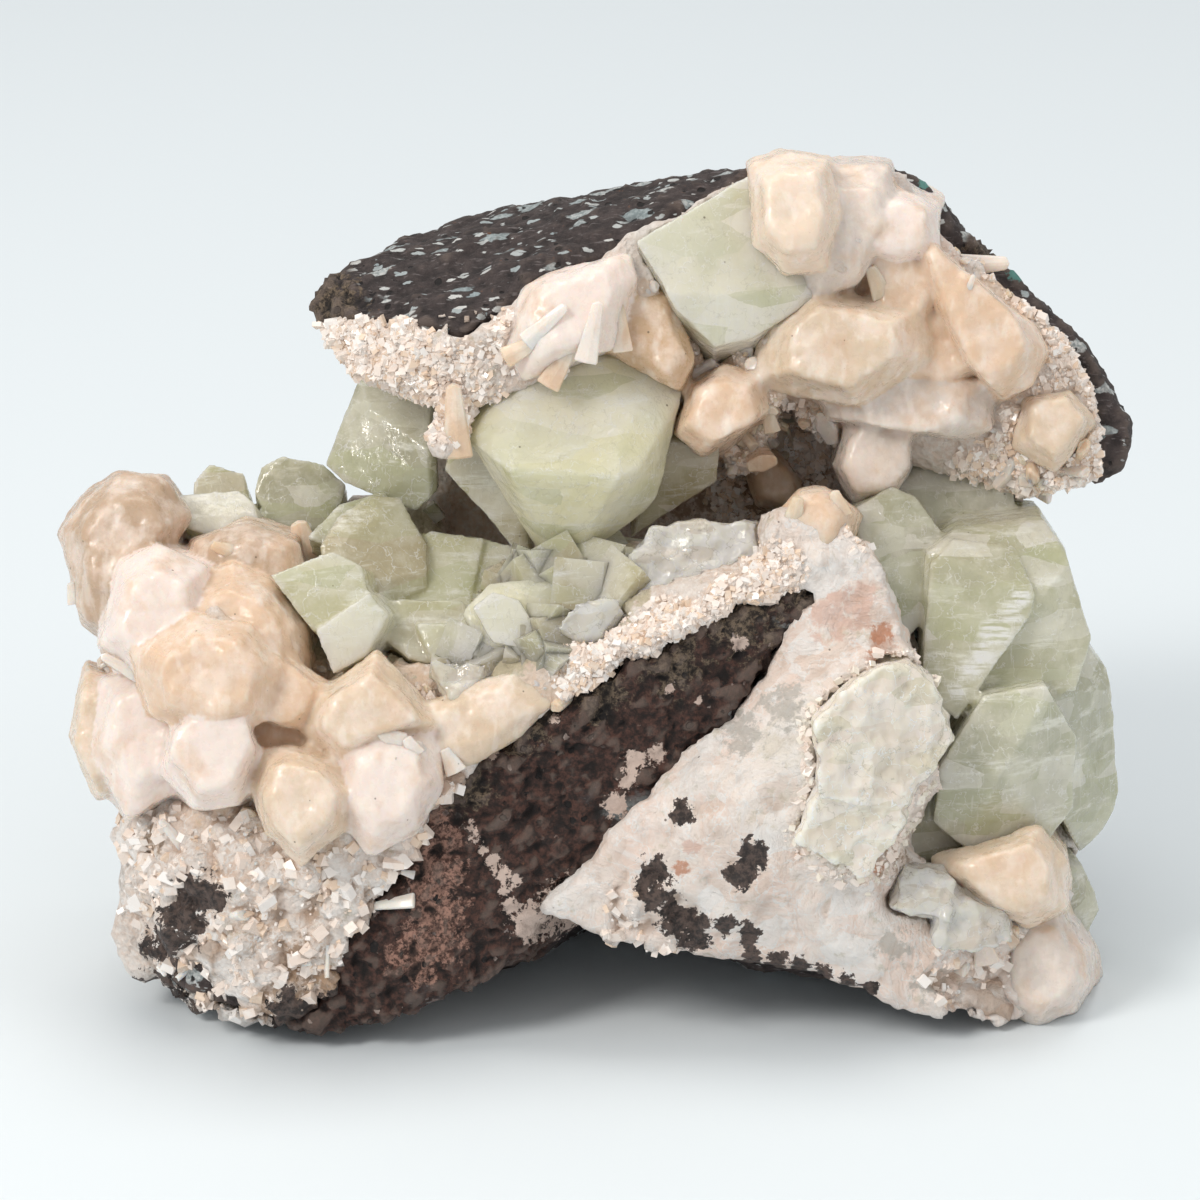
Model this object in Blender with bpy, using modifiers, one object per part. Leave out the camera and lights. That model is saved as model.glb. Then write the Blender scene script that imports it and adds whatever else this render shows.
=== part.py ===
"""Apophyllite and stilbite on basalt, a hand-sized mineral specimen with a roof, a crystal bed and two feet.

The layout is given as the specimen is seen from the front, from EYE_TILT above the horizon: a place is
(across, up, back) in millimetres, where across and up are measured in the view and back is the depth
behind the specimen's middle. The function seen() turns that into a point of the model.
"""

import bmesh
import bpy
from math import cos, radians, sin
from mathutils import Matrix, Vector

MM = 0.001

# Driving dimensions
EYE_TILT = radians(20)
EYE_DISTANCE = 650.0
TABLE_BELOW_MIDDLE = 49.0
POCKET_GAP = 0.35
CONTACT_GAP = 0.4
SPLINTER = 0.02

PILLOW_LEAN = 0.4
PILLOW_ROOT = 12.0
PILLOW_FACE = 0.6

BASALT_VOXEL = 2.2
CRUST_VOXEL = 2.0
BASALT_FACES_KEPT = 0.055
CRUST_FACES_KEPT = 0.055

BASALT_COLOUR = (0.085, 0.070, 0.068, 1.0)
CRUST_COLOUR = (0.80, 0.66, 0.55, 1.0)
APOPHYLLITE_COLOUR = (0.60, 0.66, 0.47, 1.0)
CLEAR_COLOUR = (0.72, 0.74, 0.68, 1.0)


def clear_scene():
    for obj in list(bpy.data.objects):
        bpy.data.objects.remove(obj, do_unlink=True)


def collection(name):
    made = bpy.data.collections.new(name)
    bpy.context.scene.collection.children.link(made)
    return made


clear_scene()
SPECIMEN = collection("apophyllite_cluster")
CUTTERS = collection("cutters")


def seen(across, up, back):
    """The point, in metres, that shows at (across, up) and lies that far back."""
    eye_back = EYE_DISTANCE * cos(EYE_TILT)
    eye = Vector((0, -eye_back, EYE_DISTANCE * sin(EYE_TILT)))
    in_view = Vector((across, up * sin(EYE_TILT), up * cos(EYE_TILT)))
    reach = (back + eye_back) / (in_view.y + eye_back)
    return (eye + reach * (in_view - eye)) * MM


def material(name, colour, roughness):
    made = bpy.data.materials.new(name)
    made.use_nodes = True
    shader = made.node_tree.nodes["Principled BSDF"]
    shader.inputs["Base Color"].default_value = colour
    shader.inputs["Roughness"].default_value = roughness
    shader.inputs["Metallic"].default_value = 0.0
    return made


def add_object(name, bm, home):
    bmesh.ops.recalc_face_normals(bm, faces=bm.faces)
    mesh = bpy.data.meshes.new(name)
    bm.to_mesh(mesh)
    bm.free()
    obj = bpy.data.objects.new(name, mesh)
    home.objects.link(obj)
    return obj


def hide(obj):
    """Marks a cutter or a helper, which is no piece of the specimen."""
    obj.hide_render = True
    obj.display_type = "WIRE"


def add_hull(bm, points):
    """Adds the convex hull of some points to bm."""
    corners = [bm.verts.new(point) for point in points]
    made = bmesh.ops.convex_hull(bm, input=corners)
    loose = [v for v in made["geom_interior"] + made["geom_unused"] if isinstance(v, bmesh.types.BMVert)]
    bmesh.ops.delete(bm, geom=list(set(loose)), context="VERTS")


def add_block(bm, corners, root):
    """Adds a flat-faced crystal: the hull of its seen corners and of the same corners moved by root."""
    shown = [seen(*corner) for corner in corners]
    buried = [point + Vector(root) * MM for point in shown]
    add_hull(bm, shown + buried)


def add_pillow(bm, outline, back, bulge):
    """Adds a large stilbite crystal with a bulging many-sided face, leaning back towards its top."""
    middle_across = sum(across for across, up in outline) / len(outline)
    middle_up = sum(up for across, up in outline) / len(outline)
    corners = []
    for across, up in outline:
        leaning = back + PILLOW_LEAN * (up - middle_up)
        corners.append(seen(across, up, leaning))
        corners.append(seen(across, up, leaning + PILLOW_ROOT))
        inner_across = middle_across + PILLOW_FACE * (across - middle_across)
        inner_up = middle_up + PILLOW_FACE * (up - middle_up)
        corners.append(seen(inner_across, inner_up, back - bulge + PILLOW_LEAN * (inner_up - middle_up)))
    add_hull(bm, corners)


def add_sheaf(bm, tip, root, wide, thick, roll):
    """Adds a stilbite crystal: a thick tablet from root to tip, with a blunt point and softened edges."""
    end, start = seen(*tip), seen(*root)
    length = (end - start).length
    along = (end - start).normalized()
    turn = along.to_track_quat("Z", "Y").to_matrix().to_4x4() @ Matrix.Rotation(radians(roll), 4, "Z")
    half_wide, half_thick = wide * MM / 2, thick * MM / 2
    one = bmesh.new()
    bmesh.ops.create_cube(one, size=1)
    bmesh.ops.scale(one, verts=one.verts, vec=(2 * half_wide, 2 * half_thick, length))
    bmesh.ops.translate(one, verts=one.verts, vec=(0, 0, length / 2))
    slopes = [(1, 0, 0.75), (-1, 0, 0.75), (0, 1, 0.9), (0, -1, 0.9)]
    for x, y, rise in slopes:
        drop = half_wide * abs(x) * 0.62 + half_thick * abs(y) * 0.55
        cut(one, Vector((x * half_wide, y * half_thick, length - drop)), Vector((x, y, rise)))
    bmesh.ops.transform(one, verts=one.verts, matrix=Matrix.Translation(start) @ turn)
    join_into(bm, one)


def cut(bm, point, outward):
    """Slices off what lies beyond a plane and closes the cut."""
    geometry = bm.verts[:] + bm.edges[:] + bm.faces[:]
    made = bmesh.ops.bisect_plane(bm, geom=geometry, plane_co=point, plane_no=outward, clear_outer=True)
    rim = [g for g in made["geom_cut"] if isinstance(g, bmesh.types.BMEdge)]
    if rim:
        bmesh.ops.contextual_create(bm, geom=rim)


def join_into(bm, other):
    scratch = bpy.data.meshes.new("scratch")
    other.to_mesh(scratch)
    other.free()
    bm.from_mesh(scratch)
    bpy.data.meshes.remove(scratch)


def noise_texture(name, kind, size):
    texture = bpy.data.textures.new(name, kind)
    texture.noise_scale = size * MM
    return texture


def merge(obj, voxel):
    """Joins an object's overlapping blocks into one skin of small faces."""
    made = obj.modifiers.new("merge", "REMESH")
    made.mode = "VOXEL"
    made.voxel_size = voxel * MM


def weather(obj, reliefs, kept):
    """Roughens a merged object: each relief is (kind of noise, size, height)."""
    for number, (kind, size, height) in enumerate(reliefs):
        relief = obj.modifiers.new(f"relief {number}", "DISPLACE")
        relief.texture = noise_texture(f"{obj.name} {kind} {number}", kind, size)
        relief.strength = height * MM
        relief.mid_level = 0.5
    fewer = obj.modifiers.new("fewer faces", "DECIMATE")
    fewer.ratio = kept


def boolean(obj, operation, other):
    made = obj.modifiers.new(operation.lower(), "BOOLEAN")
    made.operation = operation
    made.solver = "EXACT"
    if isinstance(other, bpy.types.Collection):
        made.operand_type = "COLLECTION"
        made.collection = other
    else:
        made.object = other


def bake(obj):
    """Applies an object's modifiers and keeps its largest connected body."""
    graph = bpy.context.evaluated_depsgraph_get()
    made = bpy.data.meshes.new_from_object(obj.evaluated_get(graph))
    obj.modifiers.clear()
    bm = bmesh.new()
    bm.from_mesh(made)
    bmesh.ops.triangulate(bm, faces=bm.faces)
    bmesh.ops.remove_doubles(bm, verts=bm.verts, dist=SPLINTER * MM)
    bmesh.ops.dissolve_degenerate(bm, edges=bm.edges, dist=SPLINTER * MM)
    bmesh.ops.delete(bm, geom=[v for v in bm.verts if not v.link_faces], context="VERTS")
    bmesh.ops.delete(bm, geom=[e for e in bm.edges if not e.link_faces], context="EDGES")
    crumbs = [v for body in connected(bm)[1:] for v in body]
    bmesh.ops.delete(bm, geom=crumbs, context="VERTS")
    bm.to_mesh(made)
    bm.free()
    obj.data = made


def connected(bm):
    """The connected bodies of bm as lists of vertices, largest first."""
    left, bodies = set(bm.verts), []
    while left:
        body, front = [], [left.pop()]
        while front:
            vertex = front.pop()
            body.append(vertex)
            for edge in vertex.link_edges:
                other = edge.other_vert(vertex)
                if other in left:
                    left.remove(other)
                    front.append(other)
        bodies.append(body)
    return sorted(bodies, key=len, reverse=True)


def grown_copy(obj, name, gap, home):
    """A cutter the shape of obj, larger by gap all round."""
    copy = bpy.data.objects.new(name, obj.data.copy())
    home.objects.link(copy)
    larger = copy.modifiers.new("gap", "DISPLACE")
    larger.strength = gap * MM
    larger.mid_level = 0.0
    hide(copy)
    return copy


# Basalt: the dark rock that carries everything. It is a roof, a back wall and a base in one piece.

ROOF_LEFT = [
    (-39.5, 37.5, 0), (-34, 37.5, -3), (-19.5, 32.8, -9), (-9, 40, -7), (0, 45, -4), (10, 49, 1), (20, 56, 8),
    (-38, 41.5, 5), (-32, 44.2, 11), (-22, 48.5, 18), (-10, 51.5, 22), (0, 52.8, 24), (10, 54.8, 24), (21, 57.2, 22),
    (-30, 30, 14), (-20, 30, 22), (0, 34, 34), (20, 36, 36), (22, 42, 40), (0, 44, 38), (-20, 42, 30),
]
ROOF_BROW = [
    (-30, 38.5, -3), (-25.5, 35, -9), (-21.5, 33.2, -12), (-18, 33.2, -12.5), (-14, 35.5, -11.5), (-10, 39, -9.5),
    (-30, 40, 6), (-19, 40, 4), (-10, 43, 4), (-20, 36, 2),
]
ROOF_RIGHT = [
    (20, 55, 10), (40, 57, 12), (47, 48.8, 12), (52, 44.3, 12), (58.6, 39, 11), (62.5, 34.5, 10), (66.4, 30, 8),
    (20, 52, 36), (40, 50, 36), (52, 40, 33), (60, 30, 28), (64, 22, 22),
    (25, 30, 30), (45, 22, 28), (58, 18, 20), (62, 24, 10), (50, 38, 12),
]
ROOF_END = [
    (66, 30, 8), (67.7, 24.7, 6), (70.3, 22, 4), (69, 17, 2), (65, 15.2, 0), (61, 17, 6), (62, 27, 8),
    (67, 20, 18), (62, 16, 18), (62, 28, 20),
]
BACK_WALL = [
    (-20, 38, 28), (45, 42, 26), (-22, 10, 24), (50, 12, 24), (-26, -28, 22), (52, -28, 20),
    (-14, 36, 42), (40, 38, 42), (-18, 0, 46), (44, 0, 46), (-20, -26, 42), (42, -26, 40),
]
BASE = [
    (-58, -46, -18), (-60, -20, -12), (-50, -12, 4), (-45, 0, 24), (50, 2, 20), (55, -10, 0), (57, -35, -14),
    (-50, -44, 6), (54, -44, 4), (-40, -34, 34), (42, -34, 34), (-30, -8, -14), (30, 2, -8), (52, -50, -22),
]
WALL_FACE = [
    (-30, -44, -34), (-28, -37, -33), (-25, -32, -32), (-22, -26, -31), (-15.5, -20.6, -30), (-7.8, -16.8, -29),
    (6.5, -6.3, -26.5), (20.8, 1.4, -23.5), (29.8, 4, -21.5), (29.2, -0.8, -22.5), (24.6, -5.4, -23.5),
    (15.6, -15.8, -26.5), (11.5, -21, -28), (7.6, -27.5, -30), (0, -33, -31), (-9, -39, -32.5), (-14, -45, -33),
]
LEFT_FOOT = [
    (-58, -50, -26), (-50, -54, -33), (-36, -58, -35), (-30, -56, -35), (-28, -44, -34), (-50, -38, -30),
    (-24, -53, -34), (-17, -50, -33), (-7, -46, -32), (-10, -38, -30), (-16, -44, -10), (-8, -42, -14),
    (-54, -46, -6), (-30, -46, -6), (-50, -34, -6), (-28, -36, -6),
]
RIGHT_FOOT = [
    (24, -47, -30), (34, -51, -31), (52, -55, -28), (60, -54, -22), (62, -48, -16), (58, -40, -12),
    (30, -44, -4), (56, -44, 0), (28, -36, -22), (56, -34, -14),
]
BACK_FOOT = [(-16, -30, 30), (16, -30, 34), (-12, -38, 20), (14, -38, 20), (-14, -22, 40), (16, -22, 42), (0, -34, 36)]
BACK_LEDGE = [
    (0, -14, 30), (38, -10, 30), (4, -30, 36), (42, -30, 34), (8, -18, 52), (34, -14, 54), (12, -26, 54), (36, -26, 50),
]
ARCH = [
    (-26, -55, -60), (-17, -50.5, -60), (-8, -46.5, -60), (0, -43, -60), (13, -44.8, -60), (21, -48.8, -60),
    (28, -52, -60), (-26, -74, -60), (28, -74, -60), (-18, -50.5, -12), (-8, -46, -12), (0, -42, -12),
    (13, -43.8, -12), (20, -48, -12), (-18, -64, -12), (20, -64, -12), (-10, -46, 8), (0, -43.5, 10),
    (10, -45, 8), (0, -60, 16),
]

# Corners that have broken off the back, as (x, y, z) in millimetres
LOWER_LEFT_BREAK = [(-70, -25, -60), (5, 50, -60), (-70, 45, 15), (-70, 70, -60), (-10, 70, -60), (-70, 70, 10)]
LOWER_RIGHT_BREAK = [(70, -12, -60), (12, 56, -60), (70, 46, -4), (70, 75, -60), (20, 75, -60), (70, 75, -10)]
LEFT_EDGE_BREAK = [(-52, 20, -22), (2, 52, -22), (-60, 70, -22), (0, 70, -22), (-46, 18, 46), (6, 50, 46), (-60, 70, 46),
                   (0, 70, 46)]
RIGHT_EDGE_BREAK = [(70, 18, -30), (36, 56, -34), (70, 70, -30), (66, 24, 40), (40, 60, 40), (70, 70, 40)]
ROOF_EDGE_BREAK = [(-30, 50, 34), (40, 58, 38), (-30, 24, 68), (50, 30, 74), (-30, 80, 70), (50, 80, 70)]
BREAKS = [LOWER_LEFT_BREAK, LOWER_RIGHT_BREAK, LEFT_EDGE_BREAK, RIGHT_EDGE_BREAK, ROOF_EDGE_BREAK]


def add_chunks(bm, chunks):
    for chunk in chunks:
        add_hull(bm, [seen(*point) for point in chunk])


def hollows():
    """The arch under the specimen and the corners broken off its back."""
    home = collection("hollows")
    shapes = [[seen(*point) for point in ARCH]]
    shapes += [[Vector(point) * MM for point in corner] for corner in BREAKS]
    for number, points in enumerate(shapes):
        bm = bmesh.new()
        add_hull(bm, points)
        hide(add_object(f"hollow {number}", bm, home))
    return home


def basalt():
    bm = bmesh.new()
    add_chunks(bm, [ROOF_LEFT, ROOF_BROW, ROOF_RIGHT, ROOF_END, BACK_WALL, BACK_LEDGE, BASE])
    add_chunks(bm, [LEFT_FOOT, RIGHT_FOOT, BACK_FOOT])
    deeper = Vector((0, 34, -3)) * MM
    face = [seen(*point) for point in WALL_FACE]
    add_hull(bm, face + [point + deeper for point in face])
    obj = add_object("basalt_matrix", bm, SPECIMEN)
    merge(obj, BASALT_VOXEL)
    boolean(obj, "DIFFERENCE", hollows())
    merge(obj, BASALT_VOXEL)
    weather(obj, [("CLOUDS", 16, 3.0), ("CLOUDS", 5, 1.4)], BASALT_FACES_KEPT)
    obj.data.materials.append(material("basalt", BASALT_COLOUR, 0.85))
    return obj


# Crust: white and pink zeolite over the basalt, with the peach stilbite crystals that grow out of it.

LEFT_MASS = [
    (-62, -27, -20), (-64, -44, -20), (-60, -50.5, -22), (-50, -54, -31), (-40, -57, -35), (-33, -54, -34),
    (-31, -46, -34), (-28, -36, -34), (-23, -28, -33), (-16, -22, -31), (-60, -30, -26), (-42, -30, -35),
    (-50, -40, -36), (-60, -30, 5), (-55, -40, 5), (-20, -20, -12), (-35, -16, -18), (-60, -16, -12),
]
LEFT_UPPER = [
    (-65, 4, -8), (-65, -8, -12), (-64, -20, -14), (-58, -26, -20), (-60, 10, 0), (-53, 10, 4), (-44, 0, -12),
    (-58, 4, -12), (-30, -19, -26), (-24, -24, -31), (-40, -24, -29), (-52, -12, -21), (-30, -15, -22), (-54, -10, 8),
]
BED = [
    (-16, -21, -30), (-8, -15.5, -29), (6.5, -5, -27), (20, 3, -24), (29, 6, -21), (-30, -16, -27),
    (-50, 5, 4), (-40, 5, 12), (-20, 3, 20), (0, 3, 24), (20, 5, 22), (34, 9, 10), (36, 8, -14),
    (-45, -16, 0), (30, -10, 10), (0, -20, 10), (-30, -18, 16),
]
BED_SHOULDER = [
    (-42, 10, 9), (-37, 13.5, 10), (-28, 14, 12), (-20, 13, 14), (-38, 4, 2), (-22, 4, 2), (-42, 0, 20), (-20, 8, 30),
    (-34, 10, 26),
]
RIGHT_RIM = [
    (20, 3, -24), (27, 9.5, -20), (32.5, 11.5, -19), (35, 6.5, -20), (38.5, 1, -22), (41, -5, -24), (30, 4, -23),
    (28, -2, -24), (24, -7, -25), (36, 4, -8), (40, -6, -6), (26, -8, -8), (24, 6, -8),
]
RIGHT_MASS = [
    (24.6, -5.6, -25), (15.6, -16, -28), (11.7, -21, -30), (8, -27.4, -32), (0, -33, -33), (-8, -39, -34),
    (-10, -41.5, -34), (0, -43.5, -33), (18, -46, -33), (32, -50, -33), (30, -20, -37), (42, -8, -28),
    (45, -18, -28), (38.5, -30, -33), (35, -37, -35), (28, -30, -37), (14, -34, -36),
    (20, -10, -8), (42, -10, -8), (10, -36, -12), (40, -36, -12), (30, -46, -12),
]
RIGHT_FOOT_CRUST = [
    (30, -44, -35), (32, -50.5, -34), (44, -54.5, -32), (52, -55.8, -29), (60.5, -53.5, -24), (63, -47, -17),
    (60, -42, -16), (50, -37, -26), (38, -36, -32), (36, -32, -24), (52, -36, -14), (60, -40, -6), (56, -50, -4),
    (34, -44, -6), (34, -34, -12),
]
RIGHT_TOWER = [
    (42, 6, -4), (56, 8, -4), (62, -2, -2), (64, -20, -2), (63, -32, -4), (61, -44, -8), (42, -34, -14),
    (40, -10, -10), (44, -40, -14), (42, 6, 14), (58, 4, 12), (62, -20, 12), (60, -42, 8), (42, -36, 14),
]
ROOF_LINING_LEFT = [
    (-39, 36.8, -1), (-33, 37.8, -4), (-29, 37.5, -6), (-26, 35, -9), (-19.5, 31.8, -12.5), (-12.5, 35, -11),
    (-9, 38.5, -9), (-4, 36, -10), (-4, 26, -6), (-20, 26, -9), (-31, 29, -5), (-34, 33, -3),
    (-28, 29, 6), (-16, 24, 6), (-2, 24, 8), (-10, 34, 6), (-30, 34, 6),
]
ROOF_LINING_MIDDLE = [
    (-9, 40.5, -8.5), (0, 45.2, -5.5), (5, 47.8, -4), (10, 49.4, -1), (16, 52.6, 3), (20.5, 57, 6), (18, 38, -2),
    (0, 34, -6), (-10, 34, -8), (12, 28, -1), (20, 22, 3), (10, 16, 8), (-6, 18, 8), (20, 44, 12), (0, 36, 12),
    (24, 30, 14),
]
ROOF_CAP = [
    (20, 55.5, 5), (23.5, 57.5, 6), (29, 56.8, 5), (38, 56.6, 6), (41.5, 54, 5), (43, 50, 5), (44.5, 45, 5),
    (40, 42, 5), (30, 40, 4), (22, 44, 4), (20, 50, 5), (24, 55, 18), (38, 54, 18), (43, 45, 18), (28, 42, 16),
]
ROOF_LINING_RIGHT = [
    (44, 47, 5), (48, 45.5, 6), (51, 41.5, 6), (58, 37.5, 6), (62, 32.5, 5), (65, 28, 4), (66, 22, 2), (64.5, 16, -1),
    (60, 13.5, 0), (55, 12, 4), (40, 40, 7), (30, 40, 7), (24, 34, 5), (22, 26, 6), (36, 24, 7), (52, 26, 6),
    (46, 20, 9), (30, 20, 12), (52, 16, 12), (62, 20, 14), (40, 38, 16), (60, 30, 14),
]
CAVITY_BACK = [
    (-24, 32, 20), (50, 34, 20), (-26, 6, 16), (52, 8, 14), (-24, 30, 30), (48, 32, 30), (-24, 4, 28), (50, 4, 28),
]

# Large stilbite crystals: the outline that shows, how far back its rim lies, and how far its face bulges
BED_PILLOWS = [
    ([(-69, 8.5), (-66.5, 12.5), (-62.5, 15.5), (-57, 15), (-54.5, 11), (-60, 5), (-63.5, -4), (-66.5, -2)], -7, 7),
    ([(-61.5, 4.2), (-57.5, 6), (-52, 4), (-52.3, 0), (-57, -9.8), (-60, -9), (-64.2, -5.5)], -20, 7),
    ([(-51.5, 2.5), (-48, 4), (-43.5, 2), (-39, -3.5), (-38.5, -7.5), (-44.5, -9), (-50, -13.5), (-56, -14.5),
      (-54, -6)], -19, 8),
    ([(-46.5, -13), (-44.4, -8.2), (-41, -7.8), (-35.4, -12.2), (-38.4, -16), (-48, -14)], -25, 6),
    ([(-50.5, -14.2), (-47, -14.5), (-45, -20.5), (-47.5, -25.7), (-52.3, -26.3), (-56, -22), (-55, -17)], -29, 9),
    ([(-43, -20.5), (-40, -19.8), (-35.5, -21.5), (-32.6, -25.5), (-34, -29.5), (-38.8, -33.5), (-42.4, -29.8),
      (-44.4, -24)], -32, 8),
    ([(-29.2, -7.8), (-25, -12.9), (-22, -16), (-30.5, -16.5), (-34, -20), (-37.6, -17.2), (-36.5, -13),
      (-31.5, -9.8)], -27, 7),
    ([(-66, -10.2), (-63, -11.5), (-61.5, -17), (-61.5, -23), (-64.5, -24.3), (-66.5, -20), (-67.5, -17.5)], -18, 6),
    ([(45.7, -34.6), (49.3, -32.7), (57.4, -31), (59.9, -34), (59.9, -39.6), (55.5, -41.4), (50, -38.8)], -23, 7),
    ([(53.4, -44), (55.5, -41.5), (59.5, -41), (62.5, -46), (62.8, -49.3), (61.2, -53), (57, -55), (52.6, -51.8)],
     -20, 6),
    ([(24.5, 10.5), (26.5, 13.4), (28.8, 13.6), (32, 11), (30, 5), (25, 5)], -16, 3),
]
ROOF_PILLOWS = [
    ([(-9.8, 39.5), (-4.2, 42.5), (3.5, 43.8), (4, 41.7), (1.4, 34.5), (-2.9, 32.2), (-10, 30.4), (-11.6, 33)], -6, 6),
    ([(4.3, 41.7), (8.5, 39.5), (10.4, 33.5), (11.3, 31), (10, 28.5), (6, 32), (1.5, 33)], -4, 3.5),
    ([(13, 27.5), (16.5, 29.6), (20.5, 28.5), (21, 25.5), (17, 22.5), (13, 20.3), (10.9, 22)], -3, 6),
    ([(21, 56), (25, 57.2), (31, 56.2), (32.2, 50), (28.6, 44.3), (24.5, 44), (21, 47.5)], 1, 8),
    ([(30.5, 50.5), (36, 49), (34.5, 45.5), (31.5, 41.5), (27.5, 41)], 2, 7),
    ([(34.5, 50), (39.2, 52.5), (43, 50.5), (43, 46.6), (39.2, 45), (34.5, 46)], 4, 6),
    ([(21.7, 35.8), (25.9, 39.3), (35.7, 38.5), (42, 36.5), (42.3, 32), (34, 26.4), (30, 26.8), (20.5, 29.6)], 1, 9),
    ([(34.6, 45.5), (40, 44.5), (44, 41), (42.6, 37), (36, 38)], 5, 6),
    ([(42, 46.4), (47.1, 41.8), (56, 34.7), (57.2, 32), (55.5, 28.7), (52.5, 27.1), (49, 31), (44.5, 39)], 2, 8),
    ([(42, 36.5), (46.9, 34.5), (50, 31), (46, 28.5), (39.5, 29)], 4, 6),
    ([(29.4, 26.4), (42.6, 28.5), (50.6, 27.5), (50.2, 23), (46.9, 21.9), (30.1, 24.5)], 2, 6),
    ([(33, 23), (40, 22.5), (39.5, 17.7), (37.5, 14.3), (33.4, 13.8), (31.3, 18)], 5, 7),
    ([(18.9, 20.4), (21.4, 19.8), (25.3, 14.6), (25, 12), (21, 12.9)], 14, 3),
    ([(56, 25.5), (61.1, 26.5), (63.3, 23), (59, 17.8), (55, 20.5)], 2, 6),
]

# Small stilbite crystals: tip, root, width, thickness and roll
BED_TABLETS = [
    ((-49, -4, -30), (-54, -14, -22), 10, 7, 40),
    ((-55.5, -9.5, -27), (-64, -6, -22), 4.5, 3.5, 20),
    ((-24, -17, -33), (-30, -24, -26), 9, 7, 60),
    ((-38.5, 17, -3), (-38, 9, -1), 5, 4, 0),
    ((-34.5, 13.5, -4), (-37, 8, -2), 4, 3.5, 40),
    ((-39.5, 10, -8), (-39, 3, -6), 6, 5, 20),
    ((24, 11.5, -19), (24, 0, -16), 6, 6, 10),
    ((18, 6, -8), (14, -2, -6), 8, 6, 0),
    ((61.5, 0, -4), (54, -4, 2), 8, 8, 0),
    ((62, -6, -3), (54, -8, 2), 8, 8, 40),
]
ROOF_TABLETS = [
    ((24, 34, -5), (28, 38, 6), 9, 8, 50),
    ((21, 25, -4), (18, 34, 6), 7, 7, 70),
    ((18, 17, 4), (22, 26, 12), 4, 3.5, 0),
    ((-20, 18.5, -12), (-18, 31, -6), 4, 3.2, 10),
]
BED_CRUST = [LEFT_MASS, LEFT_UPPER, BED, BED_SHOULDER, RIGHT_RIM, RIGHT_MASS, RIGHT_FOOT_CRUST, RIGHT_TOWER, CAVITY_BACK]
ROOF_CRUST = [ROOF_LINING_LEFT, ROOF_LINING_MIDDLE, ROOF_CAP, ROOF_LINING_RIGHT]


def stilbites(name, pillows, tablets):
    home = collection(name)
    for number, (outline, back, bulge) in enumerate(pillows):
        bm = bmesh.new()
        add_pillow(bm, outline, back, bulge)
        hide(add_object(f"{name} pillow {number}", bm, home))
    for number, (tip, root, wide, thick, roll) in enumerate(tablets):
        bm = bmesh.new()
        add_sheaf(bm, tip, root, wide, thick, roll)
        hide(add_object(f"{name} tablet {number}", bm, home))
    return home


def crust(name, chunks, grown, finish, pockets, *neighbours):
    """A crust of small crystals with its stilbites, hollowed where other pieces sit in it or against it."""
    bm = bmesh.new()
    add_chunks(bm, chunks)
    obj = add_object(name, bm, SPECIMEN)
    merge(obj, CRUST_VOXEL)
    weather(obj, [("CLOUDS", 7, 2.0), ("VORONOI", 6, -1.6)], CRUST_FACES_KEPT)
    boolean(obj, "UNION", grown)
    boolean(obj, "DIFFERENCE", pockets)
    for neighbour in neighbours:
        boolean(obj, "DIFFERENCE", grown_copy(neighbour, neighbour.name + " bed", CONTACT_GAP, CUTTERS))
    obj.data.materials.append(finish)
    bake(obj)
    return obj


# Apophyllite: pale green flat-faced crystals. Those that have grown into each other are one piece.

ROOF_LARGE = [
    ([(-11.5, 28.6, -7), (3.4, 32, -4), (8.1, 31.6, -3), (10.2, 28.4, -4), (7.7, 21.5, -10), (2.5, 15.8, -17),
      (-11.7, 16.7, -17), (-14, 20.5, -13), (7.9, 15.2, -10), (6.6, 12.2, -10), (-4.6, 3.4, -11), (-7.6, 5.5, -10),
      (-17.4, 21.2, -10), (-13.5, 26, -8)], (0, 12, 4)),
    ([(-18.5, 24, -7), (-20, 18, -7), (-15, 11, -7), (-9, 6, -6), (-12, 24, -8)], (1, 9, 2)),
    ([(8, 21, -2), (15.6, 20, -1), (15.2, 15.5, 0), (10, 12, 0), (4, 8, -2)], (0, 10, 2)),
]
ROOF_UPPER = [
    ([(5.2, 47, -5), (11, 49.6, -2), (20.5, 56, 3), (21, 46, -1), (28, 43, -2), (27.5, 39, -4), (20, 34, -6),
      (15, 33, -7), (11.5, 36.5, -8), (8.5, 40.5, -8)], (0, 10, -6)),
]
BACK_LEFT = [
    ([(-30.8, 30, 8), (-33.5, 21.8, 5), (-35.7, 17.7, 3), (-34.4, 16.4, 1), (-30, 13.9, -2), (-25.5, 13.8, -3),
      (-23.6, 12, -3), (-21.9, 13.5, -3), (-21.3, 17.8, -2), (-22, 30, 8), (-30.5, 24.7, 3), (-22.3, 19.5, -3)],
     (0, 8, -2)),
]
BED_BACK = [
    ([(-54.8, 13.5, 0), (-47, 14.3, 1), (-44.9, 12.4, 0), (-43.6, 7.4, -4), (-49.7, 7.8, -5), (-54.5, 9.6, -3),
      (-55.3, 12.1, -1)], (2, 7, -6)),
    ([(-52.9, 15.2, 6), (-50.8, 17.6, 8), (-46.4, 16.5, 8), (-45, 10, 5), (-53, 11, 4)], (1, 5, -6)),
    ([(-45, 14, 5), (-44.1, 17.4, 7), (-41.3, 18.8, 7), (-36.1, 17.7, 8), (-33, 15, 7), (-35, 9, 3), (-42, 9, 3)],
     (0, 8, -6)),
]
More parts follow.
